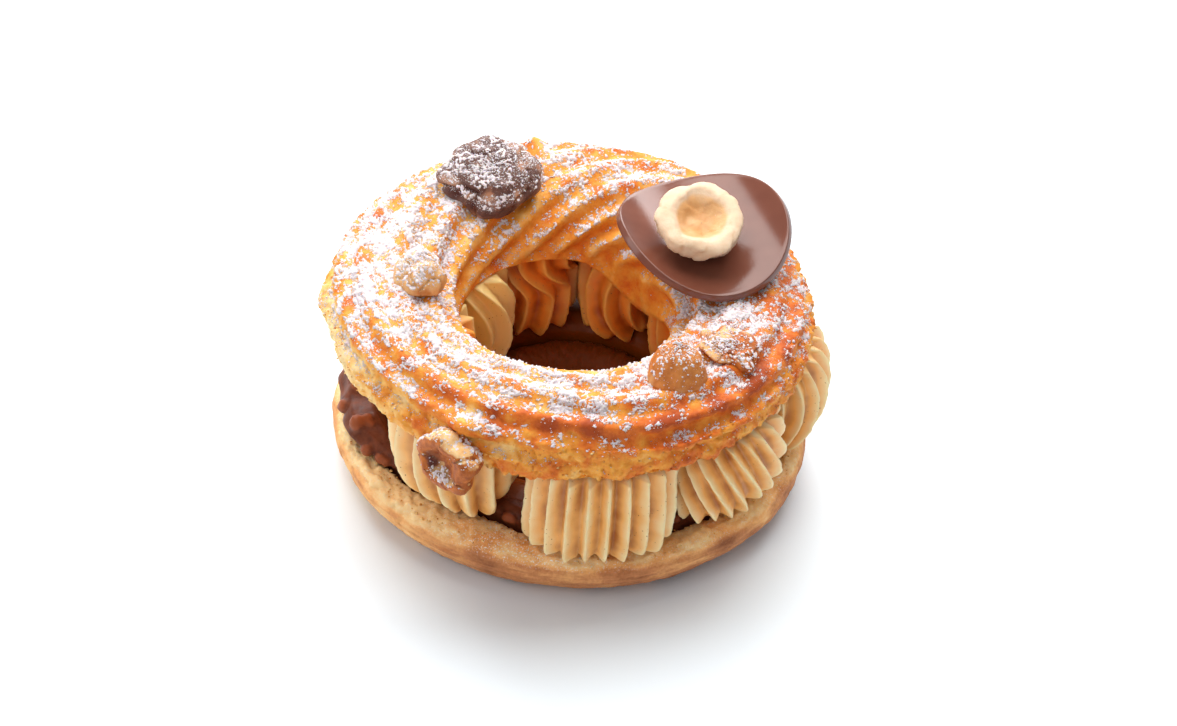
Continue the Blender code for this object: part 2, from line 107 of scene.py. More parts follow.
# Azimuth and half width in degrees, radii, pitch of the ridges; how far the ridges lean, bow and fold
# sideways; the size at foot and top as a share of the belly's, and the belly's share of the height
SWIRL_FIELDS = ("az", "half", "r_in", "r_out", "pitch", "lean", "bow", "fold", "low", "top", "belly")
SWIRLS = {
    "cream_swirl_1": (0.0, 18.6, 16.0, 44.0, 3.6, 1.0, 2.2, 0.0, 0.76, 0.76, 0.55),
    "cream_swirl_2": (36.0, 16.8, 17.0, 41.0, 3.6, -3.0, 0.0, 0.0, 0.86, 0.86, 0.45),
    "cream_swirl_3": (72.5, 18.9, 15.8, 40.5, 4.6, -1.5, -4.2, 0.0, 0.80, 0.90, 0.50),
    "cream_swirl_4": (111.4, 19.2, 16.0, 41.0, 4.6, 0.5, 1.0, 6.0, 0.82, 0.92, 0.55),
    "cream_swirl_5": (151.0, 19.3, 13.3, 39.5, 4.4, -2.0, 3.6, 0.0, 0.80, 0.78, 0.50),
    "cream_swirl_6": (190.5, 18.8, 17.5, 33.4, 3.6, 3.0, 0.0, 0.0, 0.90, 0.92, 0.45),
    "cream_swirl_7": (233.5, 19.4, 16.6, 40.6, 4.8, -2.0, 0.0, 0.0, 0.60, 0.86, 0.64),
    "cream_swirl_8": (280.6, 21.4, 16.4, 42.0, 3.55, 0.0, 0.0, 0.0, 0.93, 0.90, 0.30),
    "cream_swirl_9": (321.5, 18.2, 16.6, 42.4, 3.55, -11.5, 0.0, 0.0, 0.70, 0.82, 0.46),
}

# Crown
CROWN_OUT_R = 41.1
CROWN_OUT_SHIFT = (-1.4, -1.1)
CROWN_LONG = 0.3
CROWN_IN_R = 17.8
CROWN_IN_SHIFT = (-2.2, -3.2)
CROWN_CREST_SHARE = 0.51
CROWN_CREST_R = 29.8
CROWN_HALF_W = 11.7
CROWN_WIDE_Z = 33.8
CROWN_IN_WIDE_Z = 31.9
CROWN_TOP_Z = 41.9
CROWN_SEAT_Z = SWIRL_TOP_Z + GAP
CROWN_LIP_Z = 29.7
CROWN_LIP_W = 2.7
CROWN_FLAP_AZ = 42
CROWN_FLAP_HALF = 56
CROWN_FLAP_DROP = 5.5
CROWN_RIDGES = 6.0
CROWN_RIDGE_DEPTH = 1.25
CROWN_HOLE_DEPTH = 1.8
CROWN_HELIX = 5
CROWN_FRONT_SLANT = -0.45
CROWN_STEPS = 840
CROWN_DOME_POINTS = 78
CROWN_LUMPS = (  # azimuth, place across the dome in degrees, height, radius
    (247.0, 26.0, 2.6, 2.6),
    (107.0, 70.0, 2.2, 2.2),
    (187.0, 4.0, 1.2, 3.4),
)

# Nuts; the centre is that of the split face, dish is how deep it is hollowed, rough how uneven they are
NUT_FIELDS = ("size", "centre", "turn", "lean", "roll", "dish", "seed", "rough")
NUT_SEGMENTS = 96
NUT_RINGS = 54
CROWN_NUTS = {
    "hazelnut_back": ((18.4, 14.4, 8.5), (-17.2, 18.2, 46.2), 5, 0, 30, 0.10, 1, 0.22),
    "hazelnut_left": ((9.2, 9.0, 6.2), (-27.0, -7.0, 40.2), -35, 180, 12, 0.15, 2, 0.22),
    "hazelnut_front": ((11.6, 11.0, 9.0), (-20.6, -42.2, 32.2), -40, 0, 88, 0.22, 3, 0.25),
    "hazelnut_right": ((9.8, 9.6, 7.6), (17.2, -24.9, 38.9), 30, 180, 8, 0.10, 4, 0.12),
    "hazelnut_chip": ((9.6, 7.2, 4.6), (25.2, -18.9, 42.9), -22, 4, 14, 0.05, 5, 0.45),
}
DISC_NUT = ((14.8, 15.2, 7.2), (19.6, 4.2, 51.6), 12, 0, 13, 0.34, 6, 0.16)

# Chocolate disc
DISC_R = 15.4
DISC_THICK = 1.4
DISC_BEND_R = 23.1
DISC_CENTRE = (20.2, 7.9, 43.15)
DISC_PITCH = -2.8
DISC_ROLL = -2.2
DISC_TURN = 24.3
DISC_SEGMENTS = 160
DISC_RINGS = 26
DISC_EDGE_ROUND = 0.2

# Colours as a picture shows them, 0 to 255; a row of (share, colour) is a ramp
CROWN_TONES = (
    (0.0, (252, 218, 160)),
    (0.2, (248, 196, 116)),
    (0.42, (240, 160, 58)),
    (0.70, (220, 110, 28)),
    (1.0, (170, 70, 18)),
)
CROWN_POWDER = (242, 233, 233)
BASE_TONES = ((0.0, (255, 216, 156)), (0.3, (245, 180, 112)), (0.6, (204, 132, 82)), (1.0, (140, 80, 46)))
# Painted shade: the base's inner lip in the hole turns this dark amber, the colour of the shade there.
BASE_PAINTED_HOLE_SHADE = (118, 54, 4)
BASE_POWDER = (250, 247, 240)
# From groove to crest: the dark brown grooves are painted shade and the pale crests painted highlight, over
# the cream's own colour in between.
CREAM_TONES_WITH_PAINTED_SHADE = ((0.0, (176, 98, 34)), (0.35, (246, 184, 104)), (1.0, (255, 240, 190)))
# Painted shade and painted light: in the hole the cream is multiplied by this amber, for the shade there
# and the light that passes through the cream.
CREAM_PAINTED_HOLE_SHADE = (255, 208, 136)
# Painted light: the cream on the hole's left side, which the crown shades, is lightened to this colour.
CREAM_PAINTED_HOLE_LIGHT = (255, 228, 152)
CREAM_SPECKS = (170, 112, 66)
PRALINE_TONES = ((0.3, (92, 44, 26)), (0.7, (128, 68, 42)))
PRALINE_NUT = (158, 84, 48)
# Painted shade: the praline's inner side in the hole takes this amber brown, the colour of the shaded hole.
PRALINE_PAINTED_HOLE_SHADE = (122, 56, 6)
DISC_TONES = ((0.3, (108, 61, 47)), (0.7, (121, 71, 55)))
SUGAR_TONES = ((0.3, (214, 202, 206)), (0.7, (240, 232, 235)))
CRUMB_TONES = ((0.0, (244, 208, 140)), (0.4, (222, 150, 70)), (0.7, (178, 92, 38)), (1.0, (128, 62, 30)))
FLOOR_TONES = ((0.3, (236, 246, 254)), (0.7, (238, 248, 255)))
NUT_POWDER = (240, 233, 236)
NUT_TONES = {  # dark and light skin, dark and light flesh, pit
    "roast_nut": ((142, 64, 22), (208, 116, 44), (226, 168, 104), (246, 210, 156), (84, 36, 28)),
    "dark_nut": ((78, 52, 50), (132, 98, 88), (176, 122, 94), (212, 168, 140), (70, 30, 24)),
    "smooth_nut": ((178, 98, 42), (214, 138, 70), (222, 160, 96), (240, 198, 142), (120, 66, 40)),
    "blanched_nut": ((206, 150, 92), (224, 178, 124), (218, 186, 153), (229, 202, 173), (200, 134, 70)),
}
SKIN_EDGE = (0.35, 0.65)  # shares of skin between which the flesh turns into it
BLANCHED_EDGE = (0.1, 1.1)
LOOK_FIELDS = "face_skin back_skin dusting pit swell cracks crumple bare_top bare_corner".split()
NUT_LOOKS = {  # finish, how much more sugar than usual, and the values of the fields
    "hazelnut_back": ("dark_nut", -0.20, (0.9, 0.62, 0.42, 0.0, 1.5, 0.9, 0.12, 0.0, 0.0)),
    "hazelnut_left": ("smooth_nut", -0.06, (0.5, 0.35, 0.5, 0.0, 0.2, 0.4, 0.3, 0.2, 0.2)),
    "hazelnut_front": ("roast_nut", -0.16, (1.0, 1.1, 0.08, 1.0, 0.0, 0.7, 0.45, 1.1, 0.0)),
    "hazelnut_right": ("smooth_nut", -0.34, (0.6, 0.95, 0.2, 0.0, 0.0, 0.0, 0.08, 0.0, 0.6)),
    "hazelnut_chip": ("roast_nut", -0.22, (0.8, 0.9, 0.28, 0.5, 0.2, 0.7, 0.5, 0.3, 0.2)),
}
DISC_NUT_LOOK = (1.0, -0.2, 0.0, 0.5, 0.0, 0.25, 0.46, 0.0, 0.0)

# Icing sugar and crumbs
SUGAR_PLACES = (0.25, 2.95)  # places across the crown's dome between which patches may lie
SUGAR_HEIGHT = 0.34
NUT_SUGAR_HEIGHT = 0.22
CROWN_GRAINS = 8400
NUT_GRAINS = 260
CRUMBS = 700  # on the crown's edge, and as many on the base's rim
LUMP_TURN = 1.2566  # a fifth of a full turn, between the corners of a grain's ring
LUMP_RING = [(math.cos(k * LUMP_TURN), math.sin(k * LUMP_TURN), 0.1 * (-1) ** k) for k in range(5)]
LUMP_CORNERS = np.array([(0, 0, 1), *LUMP_RING, (0, 0, -1)])
LUMP_FACES = np.array(
    [(0, 1 + k, 1 + (k + 1) % 5) for k in range(5)] + [(6, 1 + (k + 1) % 5, 1 + k) for k in range(5)]
)

# Stage, in metres and watts: a light's place, two sizes, power and, unless white, colour
FLOOR_HALF = 3.0
LIGHT_TARGET = (0, 0, 0.025)
LIGHTS = {
    "key": ((-0.03, 0.24, 0.62), (0.80, 0.50), 5.9, (1.0, 0.985, 0.96)),
    "back": ((-0.15, 0.75, 0.42), (0.90, 0.40), 6.0),
    "fill": ((-0.22, -0.45, 0.50), (0.4, 0.3), 0.8),
    "left": ((-0.60, 0.05, 0.22), (0.3, 0.3), 0.5),
}
SKY_STRENGTH = 0.37


# Small helpers


def srgb(colour):
    """The linear colour of one that a picture shows with the values 0 to 255."""
    out = []
    for value in colour:
        c = value / 255
        out.append(c / 12.92 if c <= 0.04045 else ((c + 0.055) / 1.055) ** 2.4)
    return (*out, 1.0)


def smooth(x):
    x = np.clip(x, 0.0, 1.0)
    return x * x * (3 - 2 * x)


def mix(a, b, share):
    return a + (b - a) * share


def power(value, exponent):
    """A power of the value's size that keeps its sign."""
    return np.sign(value) * np.abs(value) ** exponent


def bump(az, middle, half):
    """1 at the middle azimuth, falling smoothly to 0 at half on both sides; both are in degrees."""
    away = np.abs((az - math.radians(middle) + math.pi) % (2 * math.pi) - math.pi)
    return smooth(1 - away / math.radians(half))


def bell(x, middle, width):
    """1 at the middle, falling on both sides in a bell curve."""
    return np.exp(-(((x - middle) / width) ** 2))


def full_turn(count):
    """Angles of a full turn in equal steps."""
    return 2 * math.pi * np.arange(count) / count


def axis_distance(points):
    return np.hypot(points[..., 0], points[..., 1])


def azimuth_of(points):
    return np.arctan2(points[..., 1], points[..., 0])


def noise_of(points, size, seed=0.0, octaves=1):
    """Smooth noise of about -1 to 1 at points in millimetres, with features of about that size."""
    spots = np.asarray(points, float).reshape(-1, 3) / size + seed * 17.31
    if octaves == 1:
        values = [noise.noise(spot) for spot in spots.tolist()]
    else:
        values = [noise.fractal(spot, 0.8, 2.1, octaves) for spot in spots.tolist()]
    return np.array(values).reshape(np.shape(points)[:-1])


def wobble(seed, az, size=1.0):
    """A smooth value of about -1 to 1 that closes round the ring."""
    flat = np.ravel(az)
    values = [noise.noise((math.cos(a) * size, math.sin(a) * size, 7.3 * seed)) for a in flat.tolist()]
    return np.array(values).reshape(np.shape(az))


def ring_quads(rows, columns, closed=True):
    """Quads of a grid whose rows close to a ring."""
    r = np.arange(rows)[:, None]
    c = np.arange(columns if closed else columns - 1)[None, :]
    after_r = (r + 1) % rows
    after_c = (c + 1) % columns
    corners = ((r, c), (after_r, c), (after_r, after_c), (r, after_c))
    return np.stack([row * columns + column for row, column in corners], -1).reshape(-1, 4)


def grid_normals(points, closed=True):
    """Unit normals of a grid whose rows close to a ring; they point out of the piece."""
    along = np.roll(points, -1, 0) - np.roll(points, 1, 0)
    if closed:
        normal = np.cross(along, np.roll(points, -1, 1) - np.roll(points, 1, 1))
    else:
        normal = np.cross(np.gradient(points, axis=1), along)
    return normal / np.maximum(np.linalg.norm(normal, axis=-1, keepdims=True), 1e-9)


def round_points(az, radius, z):
    return np.stack((radius * np.cos(az), radius * np.sin(az), z), -1)


def rotation(*turns):
    """The matrix of turns in degrees about axes, the last one first."""
    out = Matrix.Identity(3)
    for degrees, axis in turns:
        out = out @ Matrix.Rotation(math.radians(degrees), 3, axis)
    return np.array(out)


def add_object(name, data):
    thing = bpy.data.objects.new(name, data)
    bpy.context.scene.collection.objects.link(thing)
    return thing


def make_mesh(name, points, faces, material, attributes=None):
    """A smooth mesh object from points in millimetres about the ring's axis and arrays of faces."""
    points = (np.asarray(points, float).reshape(-1, 3) + SHIFT) * MM
    corners = np.concatenate([part.ravel() for part in faces])
    sides = np.concatenate([np.full(len(part), part.shape[1]) for part in faces])
    mesh = bpy.data.meshes.new(name)
    mesh.vertices.add(len(points))
    mesh.vertices.foreach_set("co", points.astype(np.float32).ravel())
    mesh.loops.add(len(corners))
    mesh.loops.foreach_set("vertex_index", corners.astype(np.int32))
    mesh.polygons.add(len(sides))
    mesh.polygons.foreach_set("loop_start", (np.cumsum(sides) - sides).astype(np.int32))
    mesh.update(calc_edges=True)
    mesh.validate()
    mesh.polygons.foreach_set("use_smooth", np.ones(len(mesh.polygons), bool))
    for key, values in (attributes or {}).items():
        layer = mesh.attributes.new(key, "FLOAT", "POINT")
        layer.data.foreach_set("value", np.ravel(values).astype(np.float32))
    mesh.materials.append(material)
    return add_object(name, mesh)


def make_grid(name, points, material, attributes=None, closed=True):
    """A mesh object from a grid whose rows close to a ring; open columns run from the upper middle."""
    quads = ring_quads(*points.shape[:2], closed)
    return make_mesh(name, points, [quads if closed else quads[:, ::-1]], material, attributes)


def finish_piece(piece, slot, *nodes):
    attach(piece, "root")
    if nodes:
        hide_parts(*nodes)


# Materials


class Shader:
    """A material's node tree with short ways to add and join nodes."""

    def __init__(self, name, roughness, **sockets):
        self.material = bpy.data.materials.new(name)
        self.material.use_nodes = True
        self.tree = self.material.node_tree
        self.surface = self.tree.nodes["Principled BSDF"]
        self.fill(self.surface, Roughness=roughness, **sockets)

    def add(self, kind, **settings):
        made = self.tree.nodes.new(kind)
        for key, value in settings.items():
            setattr(made, key, value)
        return made

    def put(self, socket, value):
        """Joins another socket to it, or gives it a number or a colour of 0 to 255."""
        if isinstance(value, bpy.types.NodeSocket):
            self.tree.links.new(value, socket)
        elif isinstance(value, tuple):
            socket.default_value = srgb(value)
        else:
            socket.default_value = value

    def fill(self, node, **values):
        """Joins or sets a node's inputs by their names, with _ for a blank."""
        for key, value in values.items():
            self.put(node.inputs[key.replace("_", " ")], value)

    def attribute(self, name):
        return self.add("ShaderNodeAttribute", attribute_name=name).outputs["Fac"]

    def noise(self, size_mm, detail=3.0, roughness=0.55, stretch=(1, 1, 1)):
        mapping = self.add("ShaderNodeMapping")
        self.fill(mapping, Vector=self.add("ShaderNodeTexCoord").outputs["Object"])
        mapping.inputs["Scale"].default_value = stretch
        made = self.add("ShaderNodeTexNoise")
        self.fill(made, Scale=1 / (size_mm * MM), Detail=detail, Roughness=roughness)
        self.fill(made, Vector=mapping.outputs["Vector"])
        return made.outputs["Fac"]

    def math(self, kind, a, b=0.0, clamp=False):
        made = self.add("ShaderNodeMath", operation=kind, use_clamp=clamp)
        self.put(made.inputs[0], a)
        self.put(made.inputs[1], b)
        return made.outputs[0]

    def scale(self, value, low, high, to_low=0.0, to_high=1.0):
        made = self.add("ShaderNodeMapRange")
        self.fill(made, Value=value, From_Min=low, From_Max=high, To_Min=to_low, To_Max=to_high)
        return made.outputs["Result"]

    def spread(self, value, to_low, to_high):
        """The range where noise mostly lies, 0.3 to 0.7, stretched to another range."""
        return self.scale(value, 0.3, 0.7, to_low, to_high)

    def ramp(self, value, stops):
        made = self.add("ShaderNodeValToRGB")
        self.fill(made, Fac=value)
        points = made.color_ramp.elements
        while len(points) < len(stops):
            points.new(0.5)
        for point, (place, colour) in zip(points, stops):
            point.position = place
            point.color = srgb(colour)
        return made.outputs["Color"]

    def blend(self, share, a, b, how="MIX"):
        made = self.add("ShaderNodeMix", data_type="RGBA", blend_type=how)
        self.put(made.inputs[0], share)
        self.put(made.inputs[6], a)
        self.put(made.inputs[7], b)
        return made.outputs[2]

    def colour(self, value):
        self.fill(self.surface, Base_Color=value)

    def rough(self, value):
        self.fill(self.surface, Roughness=value)

    def relief(self, height, depth_mm):
        made = self.add("ShaderNodeBump")
        self.fill(made, Distance=depth_mm * MM, Height=height)
        self.fill(self.surface, Normal=made.outputs["Normal"])


def soft(shader, weight, radius_mm):
    """Light that spreads under the surface."""
    shader.fill(shader.surface, Subsurface_Weight=weight, Subsurface_Scale=radius_mm * MM)
    shader.surface.inputs["Subsurface Radius"].default_value = (1.0, 0.55, 0.25)


def crown_finish():
    s = Shader("baked_choux", 0.62, Specular_IOR_Level=0.3)
    toast = s.attribute("toast")
    mottle = s.noise(2.6, 4.0)
    fine = s.noise(0.55, 3.0)
    place = s.math("ADD", toast, s.spread(mottle, -0.13, 0.13))
    place = s.math("ADD", place, s.spread(fine, -0.06, 0.06), clamp=True)
    crust = s.ramp(place, CROWN_TONES)
    dust = s.math("ADD", s.noise(0.24, 3.0, 0.65), s.math("MULTIPLY", s.attribute("dust"), 0.30))
    dust = s.scale(dust, 0.68, 0.76)
    s.colour(s.blend(dust, crust, CROWN_POWDER))
    s.rough(s.spread(fine, 0.5, 0.75))
    height = s.math("ADD", fine, s.math("MULTIPLY", dust, 0.8))
    s.relief(height, 0.12)
    soft(s, 0.12, 1.2)
    return s.material


def base_finish():
    s = Shader("pale_choux", 0.66, Specular_IOR_Level=0.3)
    toast = s.attribute("toast")
    layers = s.noise(2.2, 4.0, stretch=(0.35, 0.35, 2.6))
    fine = s.noise(0.5, 3.0)
    place = s.math("ADD", toast, s.spread(layers, -0.16, 0.16))
    place = s.math("ADD", place, s.spread(fine, -0.07, 0.07), clamp=True)
    crust = s.ramp(place, BASE_TONES)
    dust = s.scale(s.noise(0.3, 2.0, 0.6), 0.58, 0.64)
    dust = s.math("MULTIPLY", dust, s.attribute("dust"), clamp=True)
    # Painted shade: inside the hole the crust turns dark amber.
    crust = s.blend(s.attribute("painted_hole_shading"), crust, BASE_PAINTED_HOLE_SHADE)
    s.colour(s.blend(dust, crust, BASE_POWDER))
    s.relief(s.math("ADD", fine, layers), 0.1)
    soft(s, 0.12, 1.2)
    return s.material


def cream_finish():
    s = Shader("piped_cream", 0.42)
    # Crests lighter and grooves darker: painted highlight and painted shade.
    crest = s.attribute("crest")
    cloud = s.noise(5.0, 2.0)
    tone = s.math("ADD", s.math("MULTIPLY", crest, 0.62), s.spread(cloud, 0.0, 0.3), clamp=True)
    body = s.ramp(tone, CREAM_TONES_WITH_PAINTED_SHADE)
    # Painted shade in the hole, and painted light on its left side.
    body = s.blend(s.attribute("painted_hole_shading"), body, CREAM_PAINTED_HOLE_SHADE, "MULTIPLY")
    body = s.blend(s.attribute("painted_hole_light"), body, CREAM_PAINTED_HOLE_LIGHT)
    specks = s.scale(s.noise(0.42, 1.0, 0.4), 0.735, 0.79)
    s.colour(s.blend(specks, body, CREAM_SPECKS))
    s.relief(s.noise(0.28, 2.0), 0.03)
    s.rough(s.spread(cloud, 0.36, 0.5))
    soft(s, 0.16, 1.5)
    return s.material


def praline_finish():
    s = Shader("praline", 0.4, Specular_IOR_Level=0.16)
    nutty = s.attribute("nutty")
    cloud = s.noise(1.6, 3.0)
    body = s.ramp(cloud, PRALINE_TONES)
    bits = s.scale(nutty, 0.45, 1.1)
    body = s.blend(bits, body, PRALINE_NUT)
    # Painted shade in the hole.
    s.colour(s.blend(s.attribute("painted_hole_shading"), body, PRALINE_PAINTED_HOLE_SHADE))
    s.rough(s.spread(cloud, 0.34, 0.5))
    s.relief(s.noise(0.5, 2.0), 0.05)
    return s.material


def disc_finish():
    s = Shader("milk_chocolate", 0.33)
    cloud = s.noise(7.0, 2.0)
    grain = s.noise(0.2, 2.0)
    s.colour(s.ramp(cloud, DISC_TONES))
    s.rough(s.spread(grain, 0.11, 0.15))
    s.relief(grain, 0.008)
    return s.material


def nut_finish(name, edge=SKIN_EDGE):
    """Nut with its skin where the attribute says so, pale flesh elsewhere, a pit's colour and sugar."""
    dark_skin, light_skin, dark_flesh, light_flesh, pit = NUT_TONES[name]
    s = Shader(name, 0.5, Specular_IOR_Level=0.22)
    cloud = s.noise(1.4, 4.0)
    fine = s.noise(0.35, 2.0)
    skin_tone = s.ramp(cloud, ((0.3, dark_skin), (0.7, light_skin)))
    flesh_tone = s.ramp(cloud, ((0.3, dark_flesh), (0.7, light_flesh)))
    share = s.math("ADD", s.attribute("skin"), s.spread(cloud, -0.2, 0.2), clamp=True)
    body = s.blend(s.scale(share, *edge), flesh_tone, skin_tone)
    body = s.blend(s.attribute("pit"), body, pit)
    dust = s.math("ADD", s.noise(0.26, 3.0, 0.65), s.math("MULTIPLY", s.attribute("dust"), 0.36))
    dust = s.scale(dust, 0.68, 0.78)
    s.colour(s.blend(dust, body, NUT_POWDER))
    s.rough(s.scale(dust, 0.0, 1.0, 0.46, 0.85))
    s.relief(s.math("ADD", fine, dust), 0.06)
    soft(s, 0.08, 0.8)
    return s.material


def sugar_finish():
    s = Shader("icing_sugar", 0.9)
    grain = s.noise(0.16, 2.0)
    s.colour(s.ramp(grain, SUGAR_TONES))
    s.relief(grain, 0.05)
    soft(s, 0.25, 0.5)
    return s.material


def crumb_finish():
    s = Shader("toasted_crumbs", 0.6)
    tone = s.math("ADD", s.attribute("tone"), s.spread(s.noise(0.6, 3.0), -0.2, 0.2), clamp=True)
    s.colour(s.ramp(tone, CRUMB_TONES))
    s.relief(s.noise(0.3, 2.0), 0.06)
    return s.material


def floor_finish():
    s = Shader("white_table", 0.55)
    s.colour(s.ramp(s.noise(60.0, 2.0), FLOOR_TONES))
    return s.material


# Base and praline


def front_share(az):
    """1 at the very front of the ring, 0 at its back."""
    return ((1 - np.sin(az)) / 2) ** 2


def rim_inner_radius(az):
    edge = BASE_RIM_INNER_R - (BASE_FRONT_RIM + BASE_FRONT_IN) * front_share(az)
    return edge - BASE_BROAD_BY * bump(az, BASE_BROAD_AZ, BASE_BROAD_HALF)


def along_path(corners, counts):
    """Points along a path of (radius, height) columns, each stretch split into that many."""
    out = []
    for (r0, z0), (r1, z1), count in zip(corners, corners[1:] + corners[:1], counts):
        for i in range(count):
            share = i / count
            out.append((mix(r0, r1, share), mix(z0, z1, share)))
    return out


def elliptic(centre, radii, start, end, count, bend=1.0):
    out = []
    for i in range(count):
        a = math.radians(mix(start, end, i / (count - 1)))
        across, up = power(math.cos(a), bend), power(math.sin(a), bend)
        out.append((centre[0] + radii[0] * across, centre[1] + radii[1] * up))
    return out


def ring_grid(az, section):
    """Grid of points from a section of (radius, height) columns, one value for each azimuth."""
    ones = np.ones_like(az)
    return np.stack([round_points(az, r * ones, z * ones) for r, z in section], 1)


def make_base():
    az = full_turn(BASE_STEPS)
    inward = BASE_FRONT_IN * front_share(az)
    foot_r = BASE_FOOT_R - inward
    outer = BASE_R - inward + 0.6 * wobble(1, az, 2.2)
    rim_z = BASE_RIM_Z - 0.25 + 0.25 * wobble(2, az, 3.0)
    edge = rim_inner_radius(az)
    lip_r = np.minimum(BASE_LIP_R - inward, mix(BASE_LIP_R - inward, edge + 2.4, 0.5))
    wall = elliptic((foot_r, BASE_WIDE_Z), (outer - foot_r, BASE_WIDE_Z), -90, 0, 30, BASE_WALL_BEND)
    lip = elliptic((lip_r, BASE_WIDE_Z), (outer - lip_r, rim_z - BASE_WIDE_Z), 6, 90, 14)
    floor_out = (edge, BASE_FLOOR_Z)
    floor_in = (BASE_TROUGH_IN_R, BASE_FLOOR_Z)
    across = along_path([(lip_r, rim_z), (edge + 0.2, rim_z - 0.7), floor_out], (7, 7, 0))
    floor = along_path([floor_out, floor_in], (6, 0))
    inside = along_path([floor_in, (floor_in[0] - 0.3, rim_z - 1.0)], (6, 0))
    lip_size = (BASE_INNER_LIP_R - BASE_HOLE_R, rim_z - BASE_WIDE_Z)
    hole_lip = elliptic((BASE_INNER_LIP_R, BASE_WIDE_Z), lip_size, 60, 180, 14)
    waist = (mix(BASE_HOLE_R, BASE_HOLE_FOOT_R, 0.2), BASE_HOLE_WAIST_Z)
    below = [(BASE_HOLE_R, BASE_WIDE_Z), waist, (BASE_HOLE_FOOT_R, 0.0), (foot_r, 0.0)]
    foot = along_path(below, (6, 4, 8, 0))
    points = ring_grid(az, wall + lip + across[1:] + floor + inside + hole_lip + foot[1:])
    normals = grid_normals(points)
    radius = axis_distance(points)
    z = points[..., 2]
    on_rim = smooth((z - 7.6) / 1.6)
    off_floor = smooth(z / 1.2)
    outside = smooth((radius - 33.0) / 3.0)
    left = bump(azimuth_of(points), 205, 60)
    layered = points * (0.28, 0.28, 2.0)
    rough = 0.22 * noise_of(layered, 1.3, 1, 2) * outside * off_floor
    split = np.abs(noise_of(points * (0.22, 0.22, 1.3), 2.6, 41))
    rough -= 0.35 * smooth((0.05 - split) / 0.05) * outside * off_floor * (1 - on_rim)
    rough += 0.30 * noise_of(points, 7.0, 2) * off_floor * outside
    rough += (0.06 + on_rim * (0.36 + 0.70 * left)) * noise_of(points, 1.1, 3, 3) * off_floor
    points = points + normals * rough[..., None]
    points[..., 2] = np.maximum(points[..., 2], 0.0)
    # Paler on the left side, wall and rim: painted light on the lit left side.
    toast = 0.64 - 0.50 * on_rim - 0.36 * left + 0.30 * noise_of(points, 6.0, 4, 2)
    toast += 0.16 * smooth((6.0 - z) / 6.0) * outside
    front = bump(azimuth_of(points), 262, 34)
    dust = np.clip(on_rim * (0.35 + 0.9 * front) * (radius > 30), 0, 1)
    # Painted shade on the inner lip in the hole, within about 22.5 mm of the axis.
    looks = {"toast": toast, "dust": dust, "painted_hole_shading": smooth((22.5 - radius) / 2)}
    finish_piece(make_grid("base_crust", points, base_finish(), looks), "choux_base", "choux_base")


def nut_lumps(points, centres, sizes):
    """How far points rise on scattered round lumps, at most each lump's own size."""
    height = np.zeros(points.shape[:-1])
    for centre, size in zip(centres, sizes):
        away = np.linalg.norm(points - centre, axis=-1) / size
        height = np.maximum(height, size * np.sqrt(np.clip(1 - away**2, 0, 1)))
    return height


def make_praline():
    az = full_turn(PRALINE_STEPS)
    well = np.minimum(1.0, 1.4 * bump(az, PRALINE_OOZE_AZ, PRALINE_OOZE_HALF))
    edge = rim_inner_radius(az) - 0.7
    inward = BASE_FRONT_IN * front_share(az)
    lump = 0.5 * wobble(3, az, 4.0)
    top = PRALINE_TOP_Z
    inside = BASE_TROUGH_IN_R + GAP
    corners = [
        (edge - 0.1, BASE_FLOOR_Z + GAP),
        (edge, mix(9.4, 10.3, well)),
        (mix(edge, BASE_LIP_R + 0.2 - inward, well), mix(9.9, 10.5, well)),
        (mix(edge - 0.1, 41.2 - inward + lump, well), mix(10.4, 12.2, well)),
        (mix(edge - 0.8, 39.6 - inward + lump, well), mix(11.2, 14.6, well)),
        (mix(edge - 1.8, 36.2 - inward, well), mix(top, 15.2 + lump, well)),
        (np.minimum(34.0, edge - 3.2), top),
        (28.0, top),
        (inside + 3.2, top),
        (inside + 1.2, top - 1.1),
        (inside + 0.2, 9.2),
        (inside, BASE_FLOOR_Z + GAP),
    ]
    points = ring_grid(az, along_path(corners, (3, 2, 5, 5, 6, 8, 10, 7, 4, 3, 2, 4)))
    normals = grid_normals(points)
    rng = np.random.RandomState(SEED)
    centres, sizes = [], []
    for middle, half, radius, spread, count, largest in PRALINE_NUTS:
        for _ in range(count):
            a = math.radians(middle + half * rng.uniform(-1, 1))
            r = radius + spread * rng.uniform(-1, 1)
            away = (points[..., 0] - r * math.cos(a)) ** 2 + (points[..., 1] - r * math.sin(a)) ** 2
            nearest = np.argmin(away - 0.02 * points[..., 2])
            centres.append(points.reshape(-1, 3)[nearest])
            sizes.append(largest * rng.uniform(0.5, 1.0))
    lumps = nut_lumps(points, centres, sizes)
    exposed = smooth((points[..., 2] - 9.0) / 1.0)
    waves = (0.35 + 0.45 * well[:, None]) * noise_of(points, 3.6, 5) + 0.06 * noise_of(points, 1.1, 9)
    points = points + normals * ((0.75 * lumps + waves) * exposed)[..., None]
    # Painted shade on the praline's inner side, nearer than about 29 mm to the axis.
    looks = {"nutty": np.clip(lumps / 0.9, 0, 1), "painted_hole_shading": smooth((29 - axis_distance(points)) / 4)}
    piece = make_grid("praline_band", points, praline_finish(), looks)
    finish_piece(piece, "praline_chocolate", "praline_filling")


# Cream


def crown_edges(az):
    inner = CROWN_IN_R + CROWN_IN_SHIFT[0] * np.cos(az) + CROWN_IN_SHIFT[1] * np.sin(az)
    outer = CROWN_OUT_R + CROWN_OUT_SHIFT[0] * np.cos(az) + CROWN_OUT_SHIFT[1] * np.sin(az)
    outer = outer + CROWN_LONG * np.cos(2 * az)
    return inner + 0.5 * wobble(8, az, 1.8), outer + 0.45 * wobble(4, az, 1.8)


